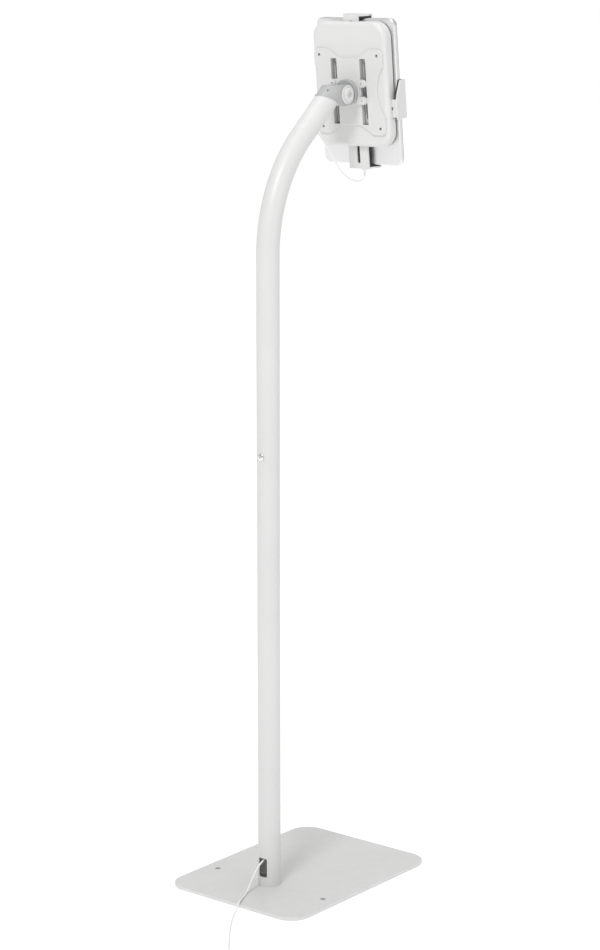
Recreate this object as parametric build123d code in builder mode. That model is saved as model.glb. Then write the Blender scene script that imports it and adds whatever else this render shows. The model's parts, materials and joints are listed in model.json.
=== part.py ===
"""Floor stand with a bent neck, a tilting and turning head, four clamp arms and a tablet.

Frame: +Z up, the screen faces -Y, the origin is on the floor under the middle of the base plate. Millimetres.
The side plane of the pole has "forward" (towards -Y) and height as its two directions.
The head plane has x across the head, y up along it and z towards the screen, with 0 at the back of the plate.
"""

from build123d import *
from math import cos, pi, radians, sin, tan
import os

os.makedirs("parts", exist_ok=True)

# ---- clearances -------------------------------------------------------------------------------------------------
FIT = 0.05  # radial clearance of shafts, plugs and screws in their bores
SLIDE = 0.3  # clearance on each side of a sliding arm
GAP = 0.1  # gap between the tablet and what holds it
TURN_GAP = 0.3  # gap between faces that turn past each other

# ---- base -------------------------------------------------------------------------------------------------------
PLATE_W = 235.0
PLATE_L = 315.0
PLATE_T = 5.0
PLATE_CORNER = 30.0
FLOOR_PAD_T = 1.0
FLOOR_PAD_INSET = 3.0
POLE_Y = 69.0
ANCHOR_SPACING = 193.0
ANCHOR_R = 4.0
ANCHOR_PAD_R = 7.0
BASE_SCREW_R = 4.0
BASE_SCREW_HEAD_R = 7.5
BASE_SCREW_HEAD_H = 3.6
FOOT_PLUG_H = 10.0

# ---- pole -------------------------------------------------------------------------------------------------------
TUBE_OD = 32.0
TUBE_WALL = 1.5
SEAM_Z = 609.0
BEND_START_Z = 899.0
BEND_R = 205.0
BEND_DEG = 49.0
NECK_TIP = 80.0
SLEEVE_WALL = 2.5
SLEEVE_BELOW = 60.0
SLEEVE_ABOVE = 50.0
JOINT_SCREW_ABOVE_SEAM = 16.0
JOINT_SCREW_R = 2.5
JOINT_SCREW_HEAD_R = 4.9
JOINT_SCREW_HEAD_H = 2.8
JOINT_SCREW_REACH = 7.0
FOOT_OPENING_W = 14.0
FOOT_OPENING_H = 28.0
FOOT_OPENING_ABOVE_PLATE = 14.0

# ---- cable outlet of the neck -----------------------------------------------------------------------------------
CABLE_D = 2.6
NECK_EXIT = 32.0
GROMMET_R = 3.4
GROMMET_FLANGE_R = 4.8
GROMMET_FLANGE_T = 1.6
GROMMET_INSIDE = 2.5

# ---- tilt joint -------------------------------------------------------------------------------------------------
PIVOT_AHEAD = 6.0  # of the tube's radius, forward of the end of its axis
PIVOT_RISE = 3.0
PIVOT_R = 6.0
EAR_R = 15.0
EAR_GAP = 14.0
TONGUE_W = 12.0
TONGUE_R = 13.0
TONGUE_NECK = 22.0
BRACKET_TOP_ABOVE_PIVOT = 13.0
BRACKET_PLUG_L = 25.0
GRUB_R = 2.0
GRUB_L = 6.0
GRUB_ANGLE = 27.0
GRUB_SETBACK = -1.0
MITRE_DEG = 25.0
WASHER_R = 13.0
WASHER_T = 2.0
BOLT_HEAD_R = 9.5
BOLT_HEAD_H = 3.0
BOLT_EDGE = 1.2
BOLT_SOCKET_R = 5.2
BOLT_SOCKET_DEPTH = 2.4
NUT_R = 10.5
NUT_H = 8.0

# ---- swivel -----------------------------------------------------------------------------------------------------
HEAD_TILT = 6.0
PIVOT_TO_PLATE = 26.0
DISC_R = 18.0
DISC_T = 6.2
FLANGE_W = 38.0
FLANGE_H = 34.0
LUG_R = 5.6
FLANGE_T = 3.5
FLANGE_CORNER = 5.0
SPIGOT_R = 7.0
RETAINER_R = 11.0
RETAINER_T = 2.0
SWIVEL_SCREW_R = 2.5
SWIVEL_SCREW_HEAD_R = 4.6
SWIVEL_SCREW_HEAD_H = 1.8
SWIVEL_SCREW_L = 10.0
HUB_SCREW_R = 2.5
HUB_SCREW_HEAD_R = 4.4
HUB_SCREW_HEAD_H = 2.6
HUB_SCREW_RISE = 11.8

# ---- grooved plate ----------------------------------------------------------------------------------------------
VESA_SIZE = 118.0
VESA_T = 3.0
VESA_CORNER = 8.0
VESA_PITCH = 100.0
VESA_HOLE_R = 2.15
CONCAVE_W = 74.0
CONCAVE_FLOOR = 34.0
CONCAVE_DEPTH = 12.5
CONCAVE_FILLET = 20.0
CONCAVE_SHOULDER = 9.0
SIDE_CONCAVE_H = 71.0
SIDE_CONCAVE_DEPTH = 12.0
GROOVE_X = 25.0
GROOVE_W = 10.0
GROOVE_LIP = 6.0
GROOVE_DEPTH = 8.7
GROOVE_UNDERCUT_W = 13.6
GROOVE_FLOOR_W = 8.0
GROOVE_FLOOR_L = 82.0
RAIL_W = 68.0
RAIL_H = 91.0
RAIL_DEPTH = 11.0
POCKET_R = 12.5
POCKET_DEPTH = 3.4
NUT_W = 13.0
NUT_LEN = 12.0
TEE_NUT_H = 2.5

# ---- casing -----------------------------------------------------------------------------------------------------
CASE_W = 126.0
CASE_H = 172.4
CASE_UP = 9.0
CASE_CORNER = 22.0
CASE_WALL = 2.5
CASE_EDGE = 6.0
CASE_SHELL_DEPTH = 14.0
COVER_T = 2.0
COVER_EDGE = 0.9
BOSS_R = 4.0
BOSS_X = 50.0
BOSS_Y = 72.0
CASE_SCREW_R = 1.4
CASE_SCREW_HEAD_R = 2.8
CASE_SCREW_HEAD_H = 1.2
CASE_SCREW_L = 9.0
PLATE_SCREW_R = 1.5
PLATE_SCREW_HEAD_R = 2.9
PLATE_SCREW_HEAD_H = 1.8
PLATE_SCREW_X = 44.0
PLATE_SCREW_Y = 28.0
PLATE_SCREW_BITE = 2.0

# ---- arms, guides and pads --------------------------------------------------------------------------------------
ARM_DEPTH = 12.0
ARM_T = 2.5
ARM_WALL = 2.5
ARM_FRONT = 33.0
LIP_REACH = 4.0
PAD_T = 2.5
BLOCK_TO_CASE = 1.0
SLOT_W = 5.0
SLOT_TO_EDGE = 5.0
GUIDE_R = 2.3
GUIDE_HEAD_R = 4.0
GUIDE_HEAD_H = 1.8
GUIDE_W = 112.0
GUIDE_H = 146.0
GUIDE_T = 1.5
GUIDE_RIB = 3.0
GUIDE_RIB_L = 22.0
GUIDE_RIB_BACK = 4.0
GUIDE_RIB_TO_WALL = 1.0
REST_PAD_R = 6.0
CABLE_NOTCH_W = 14.0
CABLE_NOTCH_FRONT = 28.0
CABLE_NOTCH_REAR = 20.4
SIDE_ARM_V = -23.1

# ---- tablet -----------------------------------------------------------------------------------------------------
TABLET_W = 134.8
TABLET_H = 203.2
TABLET_T = 7.3
TABLET_CORNER = 10.0
TABLET_V = -3.0
TABLET_BACK = 20.7
TABLET_EDGE = 1.8
TABLET_WALL = 1.2
GLASS_T = 1.1
DISPLAY_T = 1.6
DISPLAY_SIDE = 7.4
DISPLAY_END = 21.6
BATTERY_LEFT = 15.4
BATTERY_RIGHT = 43.4
BATTERY_H = 112.0
BATTERY_T = 2.2
BOARD_SIZE = (28.0, 120.0, 1.2)
BOARD_IN = 25.4
CAMERA_IN = 12.4
JACK_IN = 19.4
POWER_IN = 19.4
HOME_R = 4.5
HOME_UP = 10.6
HOME_T = 0.8
KEY_LEN = 10.0
ROCKER_LEN = 18.0
KEY_W = 2.0
KEY_PROUD = 0.6
KEY_DEPTH = 1.9
CAMERA_R = 3.6
CAMERA_PROUD = 0.5
JACK_R = 1.75
JACK_DEPTH = 9.0
PORT_W = 8.4
PORT_H = 2.6
PORT_DEPTH = 6.5
PORT_WALL = 0.6
PLUG_W = 8.0
PLUG_T = 5.4
PLUG_L = 9.5
PLUG_TONGUE_W = 7.4
PLUG_TONGUE_T = 1.6
PLUG_TONGUE_L = 5.5

# ---- cable on the floor -----------------------------------------------------------------------------------------
COIL_CENTRE = (-146.0, POLE_Y + 236.5)
COIL_MID_R = 15.0
COIL_W = 7.9
COIL_H = 5.3
TIE_T = 0.6
TIE_W = 4.0
USB_BODY = (11.0, 19.0, 7.0)
USB_SHELL = (10.0, 12.0, 4.5)
USB_SHELL_WALL = 0.4

# ---- worked out from the sizes above ----------------------------------------------------------------------------
PLATE_TOP = FLOOR_PAD_T + PLATE_T
TUBE_R = TUBE_OD / 2
PIVOT_FORWARD = TUBE_R + PIVOT_AHEAD
BORE_R = TUBE_R - TUBE_WALL
OPENING_LOW = PLATE_TOP + FOOT_OPENING_ABOVE_PLATE
JOINT_SCREW_Z = SEAM_Z + JOINT_SCREW_ABOVE_SEAM
SLOPE = radians(BEND_DEG)
BEND_END = (BEND_R * (1 - cos(SLOPE)), BEND_START_Z + BEND_R * sin(SLOPE))
TIP = (BEND_END[0] + NECK_TIP * sin(SLOPE), BEND_END[1] + NECK_TIP * cos(SLOPE))
PIVOT = (TIP[0] + PIVOT_FORWARD, TIP[1] + PIVOT_RISE)
TILT = radians(HEAD_TILT)
HEAD_CENTRE = (PIVOT[0] + PIVOT_TO_PLATE * cos(TILT), PIVOT[1] + PIVOT_TO_PLATE * sin(TILT))
CASE_BACK = VESA_T
CASE_OPEN = CASE_BACK + CASE_SHELL_DEPTH
CASE_FRONT = CASE_OPEN + COVER_T
CASE_TOP = CASE_UP + CASE_H / 2
CASE_BOTTOM = CASE_H / 2 - CASE_UP
TABLET_FRONT = TABLET_BACK + TABLET_T
TABLET_MID = TABLET_BACK + TABLET_T / 2
TABLET_TOP = TABLET_V + TABLET_H / 2
TABLET_BOTTOM = TABLET_H / 2 - TABLET_V
FLANGE_BACK = -FLANGE_T
DISC_FRONT = FLANGE_BACK - TURN_GAP
DISC_BACK = DISC_FRONT - DISC_T
SPIGOT_END = TURN_GAP
GUIDE_BACK = CASE_OPEN - GUIDE_T - GAP


# ---- frames -----------------------------------------------------------------------------------------------------
def at(forward, height, across=0.0):
    """A point given by how far it is in front of the pole's axis, its height, and its place across."""
    return (across, POLE_Y - forward, height)


POLE_SIDE = Plane(origin=(0, POLE_Y, 0), x_dir=(0, -1, 0), z_dir=(-1, 0, 0))
HEAD = Plane(origin=at(*HEAD_CENTRE), x_dir=(1, 0, 0), z_dir=(0, -cos(TILT), sin(TILT)))
TIP_PLANE = Plane(origin=at(*TIP), x_dir=(1, 0, 0), z_dir=(0, -sin(SLOPE), cos(SLOPE)))
TIP_ACROSS = (cos(SLOPE) * TUBE_R, -sin(SLOPE) * TUBE_R)
MITRE_FRONT = (TIP[0] + TIP_ACROSS[0], TIP[1] + TIP_ACROSS[1])
MITRE_PLANE = Plane(
    origin=at(*MITRE_FRONT), x_dir=(1, 0, 0), z_dir=(0, -sin(radians(MITRE_DEG)), cos(radians(MITRE_DEG)))
)
EXIT_CENTRE = (BEND_END[0] + NECK_EXIT * sin(SLOPE), BEND_END[1] + NECK_EXIT * cos(SLOPE))
EXIT_PLANE = Plane(origin=at(*EXIT_CENTRE), x_dir=(1, 0, 0), z_dir=(0, -cos(SLOPE), -sin(SLOPE)))
PIVOT_PLANE = Plane(origin=at(*PIVOT), x_dir=HEAD.z_dir, z_dir=(1, 0, 0))
REAR_SCREW_PLANE = Plane(origin=(0, POLE_Y, JOINT_SCREW_Z), x_dir=(1, 0, 0), z_dir=(0, 1, 0))


def head_plane(depth, across=0.0, up=0.0):
    """The head plane moved to a depth towards the screen, with its origin at a place on the head."""
    origin = HEAD.from_local_coords((across, up, depth))
    return Plane(origin=origin, x_dir=HEAD.x_dir, z_dir=HEAD.z_dir)


def write(builder, name):
    """Label a finished piece and write its STEP file."""
    builder.part.label = name
    export_step(builder.part, f"parts/{name}.step")


def screw_outline(head_r, head_h, shank_r, length):
    """Half of a flat-headed screw seen from the side, for a revolve about its own Y axis, with the head at 0."""
    points = [
        (0, 0),
        (head_r, 0),
        (shank_r, head_h),
        (shank_r, length),
        (0, length),
    ]
    Polygon(*points, align=None)


def button_outline(head_r, head_h, shank_r, length):
    """Half of a button-headed screw: the head rises above 0 and the shank goes down from 0."""
    shoulder = head_h * 0.35
    dome_r = (head_r**2 + (head_h - shoulder) ** 2) / (2 * (head_h - shoulder))
    dome_mid = head_h - dome_r + (dome_r**2 - head_r**2 / 4) ** 0.5
    with BuildLine() as outline:
        Line((0, -length), (shank_r, -length))
        Line((shank_r, -length), (shank_r, 0))
        Line((shank_r, 0), (head_r, 0))
        Line((head_r, 0), (head_r, shoulder))
        ThreePointArc((head_r, shoulder), (head_r / 2, dome_mid), (0, head_h))
        Line((0, head_h), (0, -length))
    make_face(outline.edges())


def turned(plane):
    """A plane whose Y axis is the given plane's normal, for outlines that are revolved about that normal."""
    return Plane(origin=plane.origin, x_dir=plane.x_dir, z_dir=-plane.y_dir)


# ---- base -------------------------------------------------------------------------------------------------------
ANCHORS = [(-ANCHOR_SPACING / 2, POLE_Y), (ANCHOR_SPACING / 2, POLE_Y)]

with BuildPart() as floor_pad:
    with BuildSketch():
        RectangleRounded(
            PLATE_W - 2 * FLOOR_PAD_INSET, PLATE_L - 2 * FLOOR_PAD_INSET, PLATE_CORNER - FLOOR_PAD_INSET
        )
        with Locations(*ANCHORS):
            Circle(ANCHOR_PAD_R, mode=Mode.SUBTRACT)
        with Locations((0, POLE_Y)):
            Circle(BASE_SCREW_HEAD_R + 1, mode=Mode.SUBTRACT)
    extrude(amount=FLOOR_PAD_T)
write(floor_pad, "floor_pad")

with BuildPart() as base_plate:
    with BuildSketch(Plane.XY.offset(FLOOR_PAD_T)):
        RectangleRounded(PLATE_W, PLATE_L, PLATE_CORNER)
        with Locations(*ANCHORS):
            Circle(ANCHOR_R, mode=Mode.SUBTRACT)
    extrude(amount=PLATE_T)
    chamfer(base_plate.faces().sort_by(Axis.Z)[-1].outer_wire().edges(), 0.5)
    screw_side = turned(Plane(origin=(0, POLE_Y, FLOOR_PAD_T), x_dir=(1, 0, 0), z_dir=(0, 0, 1)))
    with BuildSketch(screw_side):
        screw_outline(BASE_SCREW_HEAD_R + FIT, BASE_SCREW_HEAD_H, BASE_SCREW_R + FIT, PLATE_T)
    revolve(axis=Axis((0, POLE_Y, 0), (0, 0, 1)), mode=Mode.SUBTRACT)
write(base_plate, "base_plate")

with BuildPart() as foot_plug:
    with BuildSketch(Plane(origin=(0, POLE_Y, PLATE_TOP))):
        Circle(BORE_R - FIT)
        Circle(BASE_SCREW_R + FIT, mode=Mode.SUBTRACT)
    extrude(amount=FOOT_PLUG_H)
write(foot_plug, "foot_plug")

with BuildPart() as base_screw:
    with BuildSketch(screw_side):
        screw_outline(BASE_SCREW_HEAD_R, BASE_SCREW_HEAD_H, BASE_SCREW_R, PLATE_T + FOOT_PLUG_H - 1)
    revolve(axis=Axis((0, POLE_Y, 0), (0, 0, 1)))
    with BuildSketch(Plane(origin=(0, POLE_Y, FLOOR_PAD_T))):
        RegularPolygon(BASE_SCREW_R * 0.7, 6)
    extrude(amount=BASE_SCREW_HEAD_H * 0.7, mode=Mode.SUBTRACT)
write(base_screw, "base_screw")

# ---- pole -------------------------------------------------------------------------------------------------------
with BuildPart() as lower_tube:
    with BuildSketch(Plane(origin=(0, POLE_Y, PLATE_TOP))):
        Circle(TUBE_R)
        Circle(BORE_R, mode=Mode.SUBTRACT)
    extrude(amount=SEAM_Z - PLATE_TOP)
    with BuildSketch(Plane(origin=(0, POLE_Y, OPENING_LOW))):
        Rectangle(FOOT_OPENING_W, TUBE_R + 1, align=(Align.CENTER, Align.MIN))
    extrude(amount=FOOT_OPENING_H, mode=Mode.SUBTRACT)
write(lower_tube, "lower_tube")

with BuildPart() as coupling_sleeve:
    with BuildSketch(Plane(origin=(0, POLE_Y, SEAM_Z - SLEEVE_BELOW))):
        Circle(BORE_R - FIT)
        Circle(BORE_R - SLEEVE_WALL, mode=Mode.SUBTRACT)
    extrude(amount=SLEEVE_BELOW + SLEEVE_ABOVE)
    with BuildSketch(REAR_SCREW_PLANE):
        Circle(JOINT_SCREW_R + FIT)
    extrude(amount=TUBE_OD, mode=Mode.SUBTRACT)
write(coupling_sleeve, "coupling_sleeve")

with BuildPart() as upper_tube:
    with BuildLine(POLE_SIDE) as neck_line:
        Line((0, SEAM_Z), (0, BEND_START_Z))
        CenterArc((BEND_R, BEND_START_Z), BEND_R, 180, -BEND_DEG)
        Line(BEND_END, TIP)
    with BuildSketch(Plane(origin=(0, POLE_Y, SEAM_Z))):
        Circle(TUBE_R)
        Circle(BORE_R, mode=Mode.SUBTRACT)
    sweep()
    split(bisect_by=MITRE_PLANE, keep=Keep.BOTTOM)
    with BuildSketch(REAR_SCREW_PLANE):
        Circle(JOINT_SCREW_R + FIT)
    extrude(amount=TUBE_OD, mode=Mode.SUBTRACT)
    with BuildSketch(EXIT_PLANE):
        Circle(GROMMET_R + FIT)
    extrude(amount=TUBE_OD, mode=Mode.SUBTRACT)
write(upper_tube, "upper_tube")

with BuildPart() as joint_screw:
    with BuildSketch(turned(REAR_SCREW_PLANE.offset(TUBE_R))):
        button_outline(JOINT_SCREW_HEAD_R, JOINT_SCREW_HEAD_H, JOINT_SCREW_R, JOINT_SCREW_REACH)
    revolve(axis=Axis(REAR_SCREW_PLANE.origin, REAR_SCREW_PLANE.z_dir))
    with BuildSketch(REAR_SCREW_PLANE.offset(TUBE_R + JOINT_SCREW_HEAD_H)):
        RegularPolygon(JOINT_SCREW_R * 0.75, 6)
    extrude(amount=-JOINT_SCREW_HEAD_H * 0.75, mode=Mode.SUBTRACT)
write(joint_screw, "joint_screw")

with BuildPart() as neck_grommet:
    with BuildSketch(EXIT_PLANE.offset(BORE_R - GROMMET_INSIDE)):
        Circle(GROMMET_R)
    extrude(amount=GROMMET_INSIDE + TUBE_WALL + GROMMET_FLANGE_T)
    with BuildSketch(EXIT_PLANE.offset(TUBE_R + FIT)):
        Circle(GROMMET_FLANGE_R)
    extrude(amount=GROMMET_FLANGE_T - FIT)
    fillet(neck_grommet.faces().sort_by(Axis(EXIT_PLANE.origin, EXIT_PLANE.z_dir))[-1].edges(), 0.6)
    with BuildSketch(EXIT_PLANE):
        Circle(CABLE_D / 2 + FIT)
    extrude(amount=2 * TUBE_OD, mode=Mode.SUBTRACT)
write(neck_grommet, "neck_grommet")

# ---- clevis on the neck's end and its bolt ----------------------------------------------------------------------
AXIS_CUT = TUBE_R * tan(SLOPE - radians(MITRE_DEG))
AXIS_AT_MITRE = (TIP[0] - AXIS_CUT * sin(SLOPE), TIP[1] - AXIS_CUT * cos(SLOPE))
BRACKET_TOP = PIVOT[1] + BRACKET_TOP_ABOVE_PIVOT
SLOT_R = EAR_R + 0.5

AXIS_AT_TOP = (TIP[0] + (BRACKET_TOP - TIP[1]) * tan(SLOPE), BRACKET_TOP)

with BuildPart() as neck_bracket:
    with BuildSketch(TIP_PLANE.offset(-2 * TUBE_R)):
        Circle(TUBE_R)
    extrude(amount=4 * TUBE_R)
    split(bisect_by=MITRE_PLANE, keep=Keep.TOP)
    with BuildSketch(POLE_SIDE):
        with BuildLine():
            Line(MITRE_FRONT, AXIS_AT_MITRE)
            Line(AXIS_AT_MITRE, AXIS_AT_TOP)
            CenterArc(PIVOT, EAR_R, 0, 360)
        make_hull()
    extrude(amount=TUBE_R, both=True)
    split(bisect_by=Plane.XY.offset(BRACKET_TOP), keep=Keep.BOTTOM)
    with BuildSketch(POLE_SIDE):
        with Locations(PIVOT):
            Circle(SLOT_R)
            Rectangle(2 * EAR_R, 4 * EAR_R, align=(Align.MIN, Align.CENTER))
    extrude(amount=EAR_GAP / 2, both=True, mode=Mode.SUBTRACT)
    with BuildSketch(TIP_PLANE):
        Circle(BORE_R - FIT)
    extrude(amount=-BRACKET_PLUG_L)
    with BuildSketch(PIVOT_PLANE):
        Circle(PIVOT_R + FIT)
    extrude(amount=TUBE_OD, both=True, mode=Mode.SUBTRACT)
    grub_plane = Plane(
        origin=TIP_PLANE.from_local_coords((0, 0, GRUB_SETBACK)),
        x_dir=TIP_PLANE.z_dir,
        z_dir=TIP_PLANE.x_dir * -sin(radians(GRUB_ANGLE)) + TIP_PLANE.y_dir * cos(radians(GRUB_ANGLE)),
    )
    with BuildSketch(grub_plane.offset(TUBE_R - GRUB_L)):
        Circle(GRUB_R + FIT)
    extrude(amount=2 * GRUB_L, mode=Mode.SUBTRACT)
write(neck_bracket, "neck_bracket")

with BuildPart() as bracket_grub_screw:
    with BuildSketch(grub_plane.offset(TUBE_R - GRUB_L)):
        Circle(GRUB_R)
    extrude(amount=GRUB_L - 1.2)
    with BuildSketch(grub_plane.offset(TUBE_R - 1.2)):
        RegularPolygon(GRUB_R * 0.6, 6)
    extrude(amount=-GRUB_L / 2, mode=Mode.SUBTRACT)
write(bracket_grub_screw, "bracket_grub_screw")

BOLT_SEAT = TUBE_R + WASHER_T
with BuildPart() as pivot_bolt:
    with BuildSketch(PIVOT_PLANE.offset(-BOLT_SEAT)):
        Circle(PIVOT_R)
    extrude(amount=2 * BOLT_SEAT + NUT_H)
    with BuildSketch(PIVOT_PLANE.offset(-BOLT_SEAT)):
        Circle(BOLT_HEAD_R)
    extrude(amount=-BOLT_HEAD_H)
    fillet(pivot_bolt.faces().sort_by(Axis.X)[0].edges(), BOLT_EDGE)
    with BuildSketch(PIVOT_PLANE.offset(-BOLT_SEAT - BOLT_HEAD_H)):
        RegularPolygon(BOLT_SOCKET_R, 6)
    extrude(amount=BOLT_SOCKET_DEPTH, mode=Mode.SUBTRACT)
write(pivot_bolt, "pivot_bolt")

with BuildPart() as pivot_washers:
    for side in (-1, 1):
        with BuildSketch(PIVOT_PLANE.offset(side * TUBE_R)):
            Circle(WASHER_R)
            Circle(PIVOT_R + FIT, mode=Mode.SUBTRACT)
        extrude(amount=side * WASHER_T)
    chamfer(pivot_washers.faces().sort_by(Axis.X)[0].edges().sort_by(SortBy.LENGTH)[-1], 0.4)
write(pivot_washers, "pivot_washers")

with BuildPart() as pivot_nut:
    with BuildSketch(PIVOT_PLANE.offset(BOLT_SEAT)):
        RegularPolygon(NUT_R, 6)
        Circle(PIVOT_R + FIT, mode=Mode.SUBTRACT)
    extrude(amount=NUT_H - 1)
    chamfer(pivot_nut.faces().sort_by(Axis.X)[-1].outer_wire().edges(), 0.8)
write(pivot_nut, "pivot_nut")

FRICTION_T = (EAR_GAP - TONGUE_W) / 2
with BuildPart() as friction_washers:
    for side in (-1, 1):
        with BuildSketch(PIVOT_PLANE.offset(side * EAR_GAP / 2)):
            Circle(TONGUE_R - 1)
            Circle(PIVOT_R + FIT, mode=Mode.SUBTRACT)
        extrude(amount=-side * (FRICTION_T - GAP / 2))
write(friction_washers, "friction_washers")

# ---- swivel -----------------------------------------------------------------------------------------------------
HEAD_SIDE = Plane(origin=HEAD.origin, x_dir=HEAD.y_dir, z_dir=HEAD.x_dir)
with BuildPart() as knuckle:
    with BuildSketch(HEAD_SIDE):
        with BuildLine():
            CenterArc((0, -PIVOT_TO_PLATE), TONGUE_R, 0, 360)
            Line((-TONGUE_NECK / 2, DISC_BACK), (TONGUE_NECK / 2, DISC_BACK))
        make_hull()
    extrude(amount=TONGUE_W / 2, both=True)
    with BuildSketch(head_plane(DISC_BACK)):
        Circle(DISC_R)
    extrude(amount=DISC_T)
    fillet(knuckle.edges().filter_by(GeomType.CIRCLE).group_by(SortBy.RADIUS)[-1], 0.8)
    with BuildSketch(head_plane(DISC_FRONT)):
        Circle(SPIGOT_R)
    extrude(amount=SPIGOT_END - DISC_FRONT)
    with BuildSketch(PIVOT_PLANE):
        Circle(PIVOT_R + FIT)
    extrude(amount=TUBE_OD, both=True, mode=Mode.SUBTRACT)
    with BuildSketch(head_plane(SPIGOT_END)):
        Circle(SWIVEL_SCREW_R + FIT)
    extrude(amount=-SWIVEL_SCREW_L, mode=Mode.SUBTRACT)
write(knuckle, "knuckle")

with BuildPart() as swivel_retainer:
    with BuildSketch(head_plane(SPIGOT_END)):
        Circle(RETAINER_R)
    extrude(amount=RETAINER_T)
    with BuildSketch(turned(head_plane(SPIGOT_END + RETAINER_T))):
        screw_outline(SWIVEL_SCREW_HEAD_R + FIT, -SWIVEL_SCREW_HEAD_H, SWIVEL_SCREW_R + FIT, -2 * RETAINER_T)
    revolve(axis=Axis(HEAD.origin, HEAD.z_dir), mode=Mode.SUBTRACT)
write(swivel_retainer, "swivel_retainer")

with BuildPart() as swivel_screw:
    with BuildSketch(turned(head_plane(SPIGOT_END + RETAINER_T))):
        screw_outline(SWIVEL_SCREW_HEAD_R, -SWIVEL_SCREW_HEAD_H, SWIVEL_SCREW_R, -SWIVEL_SCREW_L)
    revolve(axis=Axis(HEAD.origin, HEAD.z_dir))
write(swivel_screw, "swivel_screw")

HUB_POINTS = [(x, y) for x in (-GROOVE_X, GROOVE_X) for y in (-HUB_SCREW_RISE, HUB_SCREW_RISE)]
with BuildPart() as hub_flange:
    with BuildSketch(head_plane(FLANGE_BACK)):
        RectangleRounded(FLANGE_W, FLANGE_H, FLANGE_CORNER)
        with Locations((0, -HUB_SCREW_RISE), (0, HUB_SCREW_RISE)):
            SlotOverall(2 * (GROOVE_X + LUG_R), 2 * LUG_R)
        Circle(SPIGOT_R + FIT, mode=Mode.SUBTRACT)
        with Locations(*HUB_POINTS):
            Circle(HUB_SCREW_R + FIT, mode=Mode.SUBTRACT)
    extrude(amount=FLANGE_T)
    chamfer(hub_flange.faces().sort_by(Axis(HEAD.origin, HEAD.z_dir))[0].outer_wire().edges(), 0.5)
write(hub_flange, "hub_flange")

with BuildPart() as hub_screws:
    for x, y in HUB_POINTS:
        with BuildSketch(head_plane(FLANGE_BACK, x, y)):
            Circle(HUB_SCREW_R)
        extrude(amount=FLANGE_T + GROOVE_DEPTH - 0.5)
        with BuildSketch(head_plane(FLANGE_BACK, x, y)):
            Circle(HUB_SCREW_HEAD_R)
        extrude(amount=-HUB_SCREW_HEAD_H, taper=8)
        with BuildSketch(head_plane(FLANGE_BACK - HUB_SCREW_HEAD_H, x, y)):
            RegularPolygon(HUB_SCREW_R * 0.7, 6)
        extrude(amount=HUB_SCREW_HEAD_H * 0.7, mode=Mode.SUBTRACT)
write(hub_screws, "hub_screws")

with BuildPart() as hub_nuts:
    for x, y in HUB_POINTS:
        with BuildSketch(head_plane(GROOVE_LIP + FIT, x, y)):
            Rectangle(NUT_W, NUT_LEN)
            Circle(HUB_SCREW_R + FIT, mode=Mode.SUBTRACT)
        extrude(amount=TEE_NUT_H)
write(hub_nuts, "hub_nuts")

# ---- grooved plate ----------------------------------------------------------------------------------------------
VESA_POINTS = [(x, y) for x in (-VESA_PITCH / 2, VESA_PITCH / 2) for y in (-VESA_PITCH / 2, VESA_PITCH / 2)]
PLATE_SCREW_POINTS = [(x, y) for x in (-PLATE_SCREW_X, PLATE_SCREW_X) for y in (-PLATE_SCREW_Y, PLATE_SCREW_Y)]
SIDE_CONCAVE_R = (SIDE_CONCAVE_H**2 / 4 + SIDE_CONCAVE_DEPTH**2) / (2 * SIDE_CONCAVE_DEPTH)

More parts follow.
